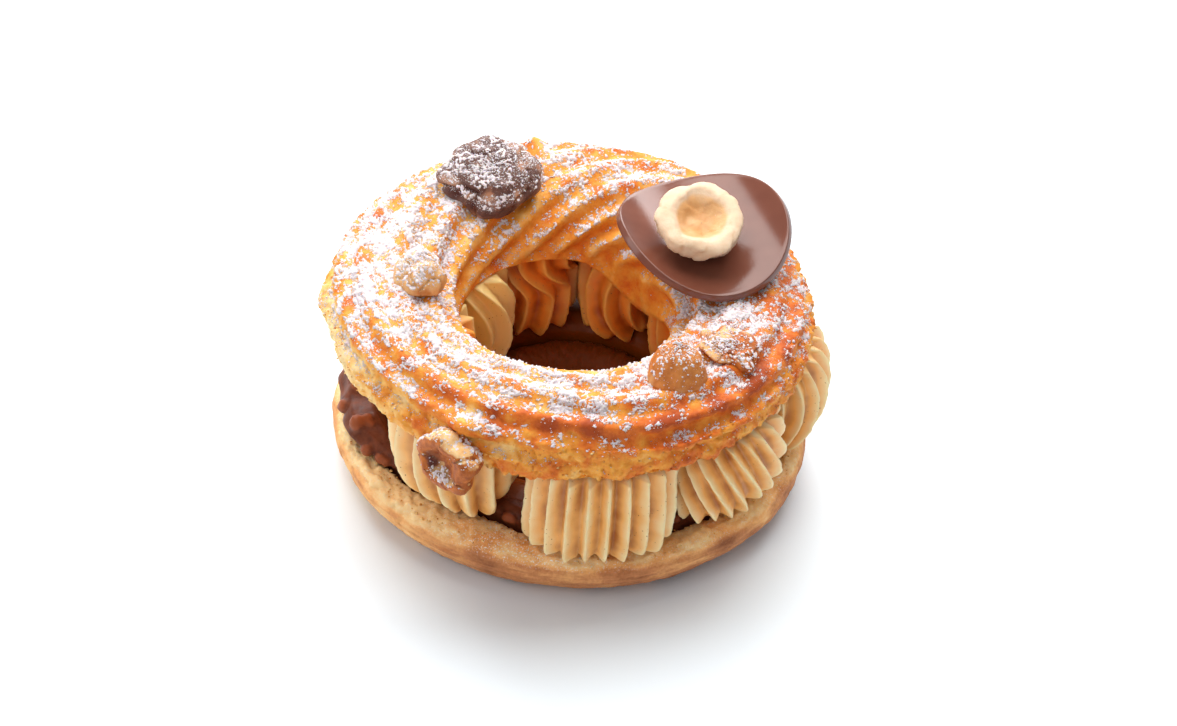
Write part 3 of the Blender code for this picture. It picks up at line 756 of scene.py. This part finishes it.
def footprint(swirl, psi, share, inset):
    """Radius and azimuth of a swirl's outline at the angle psi about its own middle."""
    mid = (swirl["r_in"] + swirl["r_out"]) / 2
    reach = (swirl["r_out"] - swirl["r_in"]) / 2
    bend = 2 / SWIRL_SQUARENESS
    radius = mid + (reach * share - inset) * power(np.cos(psi), bend)
    half = np.radians(swirl["half"]) * mix(share, 1.0, SWIRL_STEADY) - inset / radius + SWIRL_SPREAD
    return radius, np.radians(swirl["az"]) + half * power(np.sin(psi), bend)


def swirl_floor(radius, az):
    """Height where a swirl begins: it hangs lower outside and inside of its seat."""
    edge = rim_inner_radius(az)
    outer = mix(SWIRL_SEAT_Z, SWIRL_LOW_Z, smooth((radius - edge + 1.2) / 2.4))
    inner = mix(SWIRL_LOW_Z, SWIRL_SEAT_Z, smooth((radius - 19.4) / 2.2))
    return np.where(radius > 28, outer, inner)


def swirl_share(swirl, height):
    """A swirl's size at a height, as a share of its size at its belly."""
    below = mix(1.0, swirl["low"], np.clip(1 - height / swirl["belly"], 0, 1) ** 2.2)
    above = mix(1.0, swirl["top"], np.clip((height - swirl["belly"]) / (1 - swirl["belly"]), 0, 1) ** 2.2)
    return np.where(height < swirl["belly"], below, above)


def swirl_wall(swirl, number):
    """A swirl's ridged wall, and for each of its columns how near it is to a ridge's crest."""
    psis = np.linspace(0, 2 * math.pi, 721)
    r, a = footprint(swirl, psis, 1.0, 0.0)
    run = np.concatenate(((0,), np.cumsum(np.hypot(np.diff(r * np.cos(a)), np.diff(r * np.sin(a))))))
    length = run[-1]
    ridges = round(length / swirl["pitch"])
    count = ridges * RIDGE_POINTS
    turns = np.arange(count) / count
    phase = turns * ridges
    crest = 1 - np.sqrt(np.sin(math.pi * phase) ** 2 + 0.012)
    crest = (crest - crest.min()) / np.ptp(crest)
    ridge_number = np.round(phase) % ridges
    rng = np.random.RandomState(SEED + number)
    stagger = rng.uniform(0.0, 1.5, ridges)[ridge_number.astype(int)]
    strength = rng.uniform(0.86, 1.12, ridges)[ridge_number.astype(int)]
    scalloped = swirl["low"] < SCALLOP_BELOW
    foot_height, foot_depth = SCALLOP_FOOT if scalloped else SWIRL_FOOT
    lobes = np.abs(np.cos(math.pi * phase)) ** 0.8
    rows = []
    for height in np.linspace(0, 1, SWIRL_LEVELS) ** 0.9:
        shift = swirl["lean"] * height + swirl["bow"] * 4 * height * (1 - height)
        shift -= swirl["fold"] * smooth((height - FOLD_FROM) / (FOLD_TO - FOLD_FROM))
        z_rise = height * (SWIRL_TOP_Z - SWIRL_SEAT_Z)
        spots = np.stack((ridge_number * 5.3, 0 * turns + z_rise, 0 * turns + number * 9.1), -1)
        jag = noise_of(spots, 0.9, 6) * 0.16 + noise_of(spots, 4.0, 7) * 0.22
        ridge = mix(crest, lobes, scalloped * smooth(1.2 - z_rise / 7.0))
        inset = RIDGE_DEPTH * 1.2 * strength * (1 - ridge) - jag * ridge - 0.22
        foot = 1 - min(1.0, z_rise / foot_height)
        inset = inset + foot_depth * (1 - math.sqrt(max(0.0, 1 - foot**2)))
        psi = np.interp((turns + shift / length) % 1.0, run / length, psis)
        radius, az = footprint(swirl, psi, swirl_share(swirl, height), inset)
        if height > 0.93:
            radius = np.minimum(radius, crown_edges(az)[1] - CROWN_LIP_W - GAP)
        low = swirl_floor(radius, az) + stagger * smooth((radius - 35.0) / 2.0)
        rows.append(round_points(az, radius, mix(low, SWIRL_TOP_Z, height)))
    points = np.stack(rows, 1)
    return points + 0.05 * noise_of(points, 0.7, 8)[..., None] * (1, 1, 0), crest


def swirl_ends(wall, swirl):
    """The wall's points in a row with those of the swirl's two ends, and the faces of the ends."""
    count = len(wall)
    k = np.arange(count)
    after = (k + 1) % count
    middle = round_points(math.radians(swirl["az"]), (swirl["r_in"] + swirl["r_out"]) / 2, 0.0)
    points, faces = wall.reshape(-1, 3), []
    for level, z in ((0, SWIRL_SEAT_Z), (SWIRL_LEVELS - 1, SWIRL_TOP_Z)):
        half_way = mix(wall[:, level], middle, 0.35)
        half_way[:, 2] = z
        start = len(points)
        points = np.concatenate((points, half_way, [[middle[0], middle[1], z]]))
        edge = np.stack((after, k), -1) * SWIRL_LEVELS + level
        around = np.column_stack((edge, start + k, start + after))
        inner = np.column_stack((start + after, start + k, np.full(count, start + count)))
        faces += [part if level == 0 else part[:, ::-1] for part in (around, inner)]
    return points, faces


def make_swirl(name, values, number, material):
    swirl = dict(zip(SWIRL_FIELDS, values))
    wall, crest = swirl_wall(swirl, number)
    points, ends = swirl_ends(wall, swirl)
    # The crest share also drives the painted highlight on crests and the painted shade in grooves.
    crest = np.repeat(crest, SWIRL_LEVELS)
    crest = np.concatenate((crest, np.full(len(points) - len(crest), 0.3)))
    # Painted shade in the hole, growing from 28 mm to 20 mm from the axis; on the hole's left side, about
    # azimuth 160, painted light takes its place.
    painted_hole_shading = smooth((28 - axis_distance(points)) / 8)
    painted_hole_light = np.minimum(1.0, 1.6 * bump(azimuth_of(points), 160, 40))
    looks = {"crest": crest, "painted_hole_shading": painted_hole_shading * (1 - painted_hole_light), "painted_hole_light": 0.8 * painted_hole_shading * painted_hole_light}
    faces = [ring_quads(*wall.shape[:2], closed=False), *ends]
    finish_piece(make_mesh(name + "_piped", points, faces, material, looks), "cream", name)


# Crown


def crown_lump_height(az, place):
    extra = 0.0
    for at_az, at_place, height, radius in CROWN_LUMPS:
        turn = (az - math.radians(at_az) + math.pi) % (2 * math.pi) - math.pi
        along = turn * CROWN_CREST_R
        across = (place - math.radians(at_place)) * CROWN_HALF_W
        extra = extra + height * np.exp(-(along**2 + across**2) / radius**2)
    return extra


def crown_slant(az):
    """How many ridges the pattern moves across the crown up to an azimuth, mostly at the back."""
    back = (CROWN_HELIX / (2 * math.pi) - CROWN_FRONT_SLANT) * 8 / 3
    return -CROWN_FRONT_SLANT * az - back * (3 / 8 * az - np.cos(az) / 2 - np.sin(2 * az) / 16)


def crown_valley(az, place):
    """0 on a ridge of the crown, 1 in the groove beside it."""
    turns = CROWN_RIDGES * place / math.pi + crown_slant(az) + 0.2 * wobble(6, az[:, :1], 1.3)
    spots = np.stack((np.cos(az) * 2, np.sin(az) * 2, place * 1.3), -1)
    strength = 0.85 + 0.5 * noise_of(spots, 1.0)
    return (0.5 - 0.5 * np.cos(2 * math.pi * turns)) * strength


def crown_grid():
    """The crown's points, and for each its place across the dome, ridge share and azimuth."""
    az = full_turn(CROWN_STEPS)
    inner, outer = crown_edges(az)
    column = az[:, None]
    place = np.linspace(0, math.pi, CROWN_DOME_POINTS)[None, :] + 0 * column
    spread = column + 0 * place
    crest = mix(inner, outer, CROWN_CREST_SHARE)[:, None]
    top = (CROWN_TOP_Z + 0.8 * wobble(5, az, 1.7))[:, None]
    c, s = np.cos(place), np.sin(place)
    reach = np.where(c > 0, outer[:, None] - crest, crest - inner[:, None])
    wide = np.where(c > 0, CROWN_WIDE_Z, CROWN_IN_WIDE_Z)
    valley = crown_valley(spread, place)
    depth = mix(CROWN_RIDGE_DEPTH, CROWN_HOLE_DEPTH, smooth((place - 1.6) / 0.8))
    grow = crown_lump_height(spread, place) - depth * valley
    radius = crest + (reach + grow) * power(c, np.where(c > 0, 0.86, 1.0))
    height = wide + (top - wide + grow) * s**0.92
    outer_lip = CROWN_LIP_Z + 0.35 * wobble(7, az, 3.0)
    inner_lip = CROWN_SEAT_Z - 0.2 - CROWN_FLAP_DROP * bump(az, CROWN_FLAP_AZ, CROWN_FLAP_HALF)
    seat_edge = (outer - CROWN_LIP_W, CROWN_SEAT_Z)
    before = [seat_edge, (outer - 1.5, outer_lip), (outer - 0.6, mix(outer_lip, CROWN_WIDE_Z, 0.45))]
    before = along_path([*before, (radius[:, 0], height[:, 0])], (5, 5, 6, 0))
    after = [(inner - 0.1, inner_lip + 0.3), (inner + 0.9, inner_lip), (inner + 1.3, CROWN_SEAT_Z)]
    after = along_path([(radius[:, -1], height[:, -1]), *after, seat_edge], (7, 2, 3, 6, 0))[1:]
    dome = round_points(spread, radius, height)
    points = np.concatenate((ring_grid(az, before), dome, ring_grid(az, after)), 1)
    sides = ((0, 0), (len(before), len(after)))
    places = np.pad(place, sides, constant_values=((0, 0), (-0.2, math.pi + 0.2)))
    valleys = np.pad(valley, sides, constant_values=0.5)
    return points, places, valleys, column + 0 * places


def crown_detail(points, places, az):
    """Crumb and cracks of the crown in millimetres along its normals."""
    side = smooth((0.75 - places) / 0.6)
    inside = smooth((places - 2.0) / 0.6)
    radius, z = axis_distance(points), points[..., 2]
    stretched = np.stack((radius, az * CROWN_CREST_R * 0.45, z), -1)
    out = 0.12 * noise_of(points, 2.8, 11, 2)
    out += (0.05 + 0.09 * side) * noise_of(points, 1.0, 12, 3) * (1 - 0.7 * inside)
    out += 0.22 * noise_of(stretched, 1.5, 13, 2) * (1 - 0.4 * inside)
    groove = bump(az, 298, 40) * bell(places, 0.42, 0.16)
    out -= 1.3 * groove
    crack = np.abs(noise_of(points, 3.4, 14))
    out -= 0.5 * side * smooth((0.07 - crack) / 0.07)
    ragged = smooth((-0.05 - places) / 0.1) * (z < CROWN_WIDE_Z)
    out += ragged * (0.5 * noise_of(points, 2.0, 15, 2) + 0.8 * noise_of(points, 5.0, 19))
    tears = np.stack((radius, az * 41 + 1.2 * z, 0.3 * z), -1)
    return out + 0.42 * smooth((1.0 - places) / 0.5) * noise_of(tears, 1.5, 20, 2)


def make_crown():
    points, places, valleys, az = crown_grid()
    normals = grid_normals(points)
    points = points + normals * crown_detail(points, places, az)[..., None]
    normals = grid_normals(points)
    pale = 0.95 * bump(az, 203, 38) + 0.35 * bump(az, 318, 20)
    pale += 0.30 * bump(az, 10, 60) + 0.1 * bump(az, 100, 80)
    low = smooth((0.62 - places) / 0.45)
    hole = smooth((places - 1.9) / 0.6)
    patchy = np.clip(0.55 + 1.3 * noise_of(points, 6.5, 42), 0, 1.2)
    rim = bell(places, 0.80, 0.28) * bump(az, 280, 120)
    toast = 0.55 - 0.16 * valleys + 0.32 * noise_of(points, 3.6, 16, 2) + 0.38 * rim * patchy
    toast += 0.20 * bump(az, 325, 80) - 0.50 * low * pale
    toast = mix(toast, 0.46 + 0.26 * (valleys - 0.4) + 0.2 * noise_of(points, 3.0, 18), hole)
    dust = 0.55 + 0.22 * bump(az, 335, 70)
    crown = (points, normals, places, valleys, az)
    dust += 1.1 * sugar_share(crown)
    looks = {"toast": toast, "dust": np.clip(dust, 0, 1)}
    finish_piece(make_grid("crown_crust", points, crown_finish(), looks), "choux_crown", "choux_crown")
    return crown


# Icing sugar


def finer(grid, rows, columns):
    """The grid with rows times as many closed rows and columns times as many columns."""
    tall = np.arange(round(len(grid) * rows)) / rows
    wide = np.arange((grid.shape[1] - 1) * columns + 1) / columns
    grid = np.concatenate((grid, grid[:1]))
    for axis, steps in enumerate((tall, wide)):
        low = np.minimum(np.floor(steps).astype(int), grid.shape[axis] - 2)
        share = (steps - low).reshape([-1 if i == axis else 1 for i in range(grid.ndim)])
        grid = grid.take(low, axis) * (1 - share) + grid.take(low + 1, axis) * share
    return grid


def sugar_share(crown):
    """Where sugar lies on the crown, coarsely: about -0.5 for none to 0.5 for all covered."""
    points, normals, places, valleys, az = crown
    streaks = np.stack((axis_distance(points), az * CROWN_CREST_R * 0.6, points[..., 2]), -1)
    share = 0.55 * noise_of(streaks, 1.1, 22) + 0.4 * noise_of(points, 1.1, 28)
    share += 0.46 * noise_of(points, 3.4, 21, 2)
    heavy = bump(az, 175, 80) * bell(places, 1.1, 0.8)
    crest = bell(places, 1.75, 0.5)
    bare = bump(az, 122, 26) * bell(places, 2.2, 0.35)
    outside = bump(az, 295, 100) * smooth((1.25 - places) / 0.5)
    inside = bump(az, 90, 80) * smooth((places - 1.7) / 0.4)
    share += 0.18 * heavy + 0.16 * crest - 0.4 * bare - 0.32 * outside
    share += inside * (0.10 - 0.55 * valleys)
    return share - 1.3 * smooth((0.5 - normals[..., 2]) / 0.5) - 0.15


def sugar_amount(crown):
    """How much sugar lies at each place of the crown; above 0 it shows as a clump."""
    fine = 0.95 * noise_of(crown[0], 0.5, 23) + 0.85 * noise_of(crown[0], 0.27, 27)
    return sugar_share(crown) + fine - 0.05


def round_height(amount, highest):
    """A clump's height in millimetres: steep at its edge and round on top."""
    return np.where(amount > 0, highest * np.tanh(2.4 * amount), np.maximum(0.3 * amount, -0.06))


def raised_patches(points, normals, height):
    """The quads of a grid where the height is above 0, lifted along the normals."""
    raised = (points + normals * (height - 0.01)[..., None]).reshape(-1, 3)
    quads = ring_quads(*height.shape, closed=False)
    quads = quads[(height.ravel()[quads] > 0).sum(1) > 1]
    used, faces = np.unique(quads, return_inverse=True)
    return raised[used], faces.reshape(-1, 4)


def make_sugar(crown, nuts, material):
    """Raised patches of sugar on the crown and on the nuts: (points, normals, how much more sugar)."""
    places = crown[2][0]
    columns = np.flatnonzero((places > SUGAR_PLACES[0]) & (places < SUGAR_PLACES[1]))
    keep = slice(columns[0], columns[-1] + 1)
    points, normals, places, valleys = [finer(part[:, keep], 1.4, 3) for part in crown[:4]]
    az = full_turn(len(points))[:, None] + 0 * places
    amount = sugar_amount((points, normals, places, valleys, az))
    patches = [raised_patches(points, normals, round_height(amount, SUGAR_HEIGHT))]
    for points, normals, more in nuts:
        points, normals = finer(points, 2, 2), finer(normals, 2, 2)
        amount = noise_of(points, 0.6, 24) + 0.75 * noise_of(points, 0.33, 25)
        amount += 0.4 * noise_of(points, 3.0, 26)
        amount += more - 1.4 * smooth((0.6 - normals[..., 2]) / 0.6)
        patches.append(raised_patches(points, normals, round_height(amount, NUT_SUGAR_HEIGHT)))
    spots = [spots for spots, _ in patches]
    starts = np.cumsum([0] + [len(some) for some in spots])
    faces = [faces + start for (_, faces), start in zip(patches, starts)]
    finish_piece(make_mesh("sugar_patches", np.concatenate(spots), faces, material), "choux_crown")


def make_grains(name, spots, sizes, material, rng, slot, attributes=None):
    """Small uneven lumps of ten faces at the spots."""
    count = len(spots)
    turn = rng.uniform(0, 2 * math.pi, count)
    shape = LUMP_CORNERS[None] * rng.uniform(0.7, 1.2, (count, 7, 1))
    widths = sizes * rng.uniform(0.7, 1, count)
    heights = sizes * rng.uniform(0.5, 0.9, count)
    x, y, z = np.moveaxis(shape * np.stack((sizes, widths, heights), -1)[:, None], -1, 0)
    c, s = np.cos(turn)[:, None], np.sin(turn)[:, None]
    points = np.stack((x * c - y * s, x * s + y * c, z), -1) + spots[:, None]
    faces = LUMP_FACES[None] + 7 * np.arange(count)[:, None, None]
    values = {key: np.repeat(value, 7) for key, value in (attributes or {}).items()}
    finish_piece(make_mesh(name, points, [faces.reshape(-1, 3)], material, values), slot)


def make_sugar_grains(crown, nuts, material):
    """Loose sugar on the crown and the nuts, only on what faces up."""
    rng = np.random.RandomState(SEED + 40)
    flat, up = crown[0].reshape(-1, 3), crown[1].reshape(-1, 3)
    chance = np.clip(sugar_amount(crown).ravel() + 0.6, 0, 1) ** 2 * (up[:, 2] > 0.1) * axis_distance(flat)
    chosen = rng.choice(len(flat), CROWN_GRAINS, replace=False, p=chance / chance.sum())
    spots = [flat[chosen] + up[chosen] * 0.05]
    for points, normals, _ in nuts:
        flat, up = points.reshape(-1, 3), normals.reshape(-1, 3)
        chance = np.clip(up[:, 2] - 0.1, 0, 1)
        chosen = rng.choice(len(flat), NUT_GRAINS, replace=False, p=chance / chance.sum())
        spots.append(flat[chosen] + up[chosen] * 0.04)
    spots = np.concatenate(spots)
    spots = spots + rng.normal(0, 0.05, spots.shape)
    sizes = rng.uniform(0.08, 0.24, len(spots))
    make_grains("sugar_grains", spots, sizes, material, rng, "choux_crown")


# Nuts


def nut_surface(nut, look):
    """Points of a half nut in its own frame, and how far each lies in its split face and in a crack."""
    length, width, height = nut["size"]
    dish, seed = nut["dish"], nut["seed"]
    angle = full_turn(NUT_SEGMENTS)
    profile = [(0.01, -1.05 * dish), (0.24, -dish), (0.48, -0.5 * dish), (0.76, -0.03), (1.0, -0.12)]
    profile += [(math.cos(a), -0.12 - 0.88 * math.sin(a)) for a in np.radians(np.arange(10, 90, 10))]
    profile = np.array(profile + [(0.01, -1.0)])
    run = np.concatenate(((0,), np.cumsum(np.hypot(*np.diff(profile, axis=0).T))))
    steps = np.linspace(0, run[-1], NUT_RINGS)
    share, depth = (np.interp(steps, run, values) for values in profile.T)
    for _ in range(3):
        for values in (share, depth):
            values[1:-1] = (values[:-2] + 2 * values[1:-1] + values[2:]) / 4
    inside = smooth((run[3] * 0.98 - steps) / (run[3] * 0.5))
    depth = depth + look["swell"] / height * inside
    flat = share[None, :, None] * np.stack((np.cos(angle), np.sin(angle)), -1)[:, None]
    grid = np.concatenate((flat, (depth[None] + 0 * angle[:, None])[..., None]), -1)
    uneven = noise_of(grid + np.array((seed * 3.1 / 1.9, 0, 0)), 1 / 1.9)
    grid = grid * (1 + nut["rough"] * uneven)[..., None]
    points = grid * np.array((length / 2, width / 2, height))
    on_face = inside[None] + 0 * angle[:, None]
    outward = points / np.maximum(np.linalg.norm(points, axis=-1, keepdims=True), 1e-6)
    outward = mix(outward, np.array((0.0, 0.0, 1.0)), on_face[..., None])
    detail = 0.8 * noise_of(points, 3.4, seed + 30, 2) + 0.35 * noise_of(points, 1.2, seed + 31, 2)
    crack = smooth((0.06 - np.abs(noise_of(points, 0.4 * length, seed + 32))) / 0.06)
    detail = look["crumple"] * detail - look["cracks"] * crack
    return points + outward * detail[..., None], on_face, crack


def make_nut(name, nut_values, look_values, material, slot):
    nut = dict(zip(NUT_FIELDS, nut_values))
    look = dict(zip(LOOK_FIELDS, look_values))
    centre, seed = nut["centre"], nut["seed"]
    points, on_face, crack = nut_surface(nut, look)
    turned = rotation((nut["turn"], "Z"), (nut["lean"], "Y"), (nut["roll"], "X"))
    points = points @ turned.T + centre
    normals = grid_normals(points, closed=False)
    up = normals[..., 2]
    skin = mix(look["back_skin"], look["face_skin"], smooth(on_face * 1.6))
    skin += 0.5 * noise_of(points, 3.0, seed + 40)
    low_left = (centre[0] - points[..., 0] + centre[2] - points[..., 2]) / nut["size"][0]
    skin -= look["bare_corner"] * np.clip(low_left, 0, 1) + look["bare_top"] * np.clip(up, 0, 1)
    dust = smooth((up - 0.1) / 0.7) * look["dusting"] * (1 + 0.6 * noise_of(points, 2.0, seed + 50))
    pit = look["pit"] * smooth((on_face - 0.3) / 0.4) * smooth(0.45 + 2.0 * low_left)
    pit = pit * np.clip(0.8 + 1.5 * noise_of(points, 2.2, seed + 60), 0, 1)
    pit = np.maximum(pit, min(1.0, look["cracks"]) * crack)
    looks = {"skin": skin, "dust": dust, "pit": pit}
    finish_piece(make_grid(name + "_shell", points, material, looks, closed=False), slot, name)
    return points, normals


def make_nuts():
    """All nuts; of those on the crown the points, the normals and how much more sugar they take."""
    finishes = {name: nut_finish(name) for name in ("roast_nut", "dark_nut", "smooth_nut")}
    pale = nut_finish("blanched_nut", BLANCHED_EDGE)
    surfaces = []
    for name, (finish, more_sugar, look) in NUT_LOOKS.items():
        made = make_nut(name, CROWN_NUTS[name], look, finishes[finish], "roast_hazelnut")
        surfaces.append((*made, more_sugar))
    make_nut("hazelnut_on_disc", DISC_NUT, DISC_NUT_LOOK, pale, "blanched_hazelnut")
    return surfaces


# Disc


def make_disc():
    half = DISC_THICK / 2
    flat_r = DISC_R - DISC_EDGE_ROUND
    rings = [(flat_r * share, half) for share in np.linspace(0.02, 1, DISC_RINGS)]
    for a in np.radians((22, 45, 68, 90)):
        out, down = DISC_EDGE_ROUND * math.sin(a), DISC_EDGE_ROUND * (1 - math.cos(a))
        rings.append((flat_r + out, half - down))
    rings += [(radius, -side) for radius, side in rings[::-1]]
    radii, sides = np.array(rings).T
    angle = full_turn(DISC_SEGMENTS)[:, None]
    radius = radii[None] * (1 + 0.004 * wobble(31, angle, 2.0))
    bent = DISC_BEND_R - (sides[None] + 0 * angle)
    across = radius * np.cos(angle) / DISC_BEND_R
    up = DISC_BEND_R - bent * np.cos(across)
    points = np.stack((bent * np.sin(across), radius * np.sin(angle), up), -1)
    turned = rotation((DISC_ROLL, "Y"), (-DISC_PITCH, "X"), (DISC_TURN, "Z"))
    points = points @ turned.T + DISC_CENTRE
    piece = make_grid("disc_sheet", points, disc_finish(), closed=False)
    finish_piece(piece, "milk_chocolate", "chocolate_disc")


# Crumbs


def make_crumbs(crown):
    """Crumbs along the crown's lower edge and on the base's rim."""
    rng = np.random.RandomState(SEED + 70)
    flat, up = crown[0].reshape(-1, 3), crown[1].reshape(-1, 3)
    edge = np.flatnonzero((crown[2].ravel() < 0.35) & (flat[:, 2] < 37))
    chosen = rng.choice(edge, CRUMBS, replace=False)
    az = rng.uniform(0, 2 * math.pi, CRUMBS)
    lip_r = BASE_LIP_R - BASE_FRONT_IN * front_share(az)
    radius = mix(rim_inner_radius(az) + 0.3, lip_r + 1.4, rng.uniform(0, 1, CRUMBS))
    rim = round_points(az, radius, BASE_RIM_Z - 0.25 - 0.35 * np.clip(radius - lip_r, 0, 9))
    spots = np.concatenate((flat[chosen] + up[chosen] * 0.05, rim))
    sizes = rng.uniform(0.12, 0.42, len(spots)) * rng.uniform(0.6, 1, len(spots))
    tone = np.concatenate((rng.uniform(0.05, 0.5, CRUMBS), rng.uniform(0.0, 0.4, CRUMBS)))
    make_grains("crumbs", spots, sizes, crumb_finish(), rng, "choux_crown", {"tone": tone})


# Stage


def make_floor():
    mesh = bpy.data.meshes.new("floor")
    corners = [(x * FLOOR_HALF, y * FLOOR_HALF, 0) for x, y in ((-1, -1), (1, -1), (1, 1), (-1, 1))]
    mesh.from_pydata(corners, [], [(0, 1, 2, 3)])
    mesh.materials.append(floor_finish())
    floor = add_object("floor", mesh)


def add_area_light(name, place, size, watts, colour=(1, 1, 1)):
    light = bpy.data.lights.new(name, "AREA")
    light.shape = "RECTANGLE"
    light.size, light.size_y = size
    light.energy = watts
    light.color = colour
    holder = add_object(name, light)
    holder.location = place
    holder.rotation_euler = (Vector(LIGHT_TARGET) - Vector(place)).to_track_quat("-Z", "Y").to_euler()


def add_lights():
    for name, values in LIGHTS.items():
        add_area_light(name, *values)
    world = bpy.data.worlds.new("studio")
    world.use_nodes = True
    sky = world.node_tree.nodes["Background"]
    sky.inputs["Color"].default_value = (1, 1, 1, 1)
    sky.inputs["Strength"].default_value = SKY_STRENGTH
    bpy.context.scene.world = world
    bpy.context.scene.view_settings.view_transform = "Standard"


def add_camera():
    back = Vector((0, -math.cos(CAMERA_ELEVATION), math.sin(CAMERA_ELEVATION)))
    up = Vector((0, math.sin(CAMERA_ELEVATION), math.cos(CAMERA_ELEVATION)))
    right = Vector((1, 0, 0))
    rolled_right = right * math.cos(CAMERA_ROLL) + up * math.sin(CAMERA_ROLL)
    rolled_up = up * math.cos(CAMERA_ROLL) - right * math.sin(CAMERA_ROLL)
    across = (TARGET_PIXEL[0] - PHOTO_SIZE[0] / 2) * CAMERA_DISTANCE / FOCAL_PIXELS
    down = (TARGET_PIXEL[1] - PHOTO_SIZE[1] / 2) * CAMERA_DISTANCE / FOCAL_PIXELS
    place = Vector(TARGET) + back * CAMERA_DISTANCE - rolled_right * across + rolled_up * down
    camera = bpy.data.cameras.new("photo_camera")
    camera.sensor_width = SENSOR_WIDTH
    camera.lens = SENSOR_WIDTH * FOCAL_PIXELS / PHOTO_SIZE[0]
    camera.clip_start = 0.01
    holder = add_object("photo_camera", camera)
    turned = Matrix((rolled_right, rolled_up, back)).transposed().to_4x4()
    holder.matrix_world = Matrix.Translation(place * MM) @ turned
    bpy.context.scene.camera = holder


def main():
    make_base()
    make_praline()
    cream = cream_finish()
    for number, (name, values) in enumerate(SWIRLS.items()):
        make_swirl(name, values, number, cream)
    crown = make_crown()
    nuts = make_nuts()
    make_disc()
    sugar = sugar_finish()
    make_sugar(crown, nuts, sugar)
    make_sugar_grains(crown, nuts, sugar)
    make_crumbs(crown)
    make_floor()
    add_lights()
    add_camera()


main()
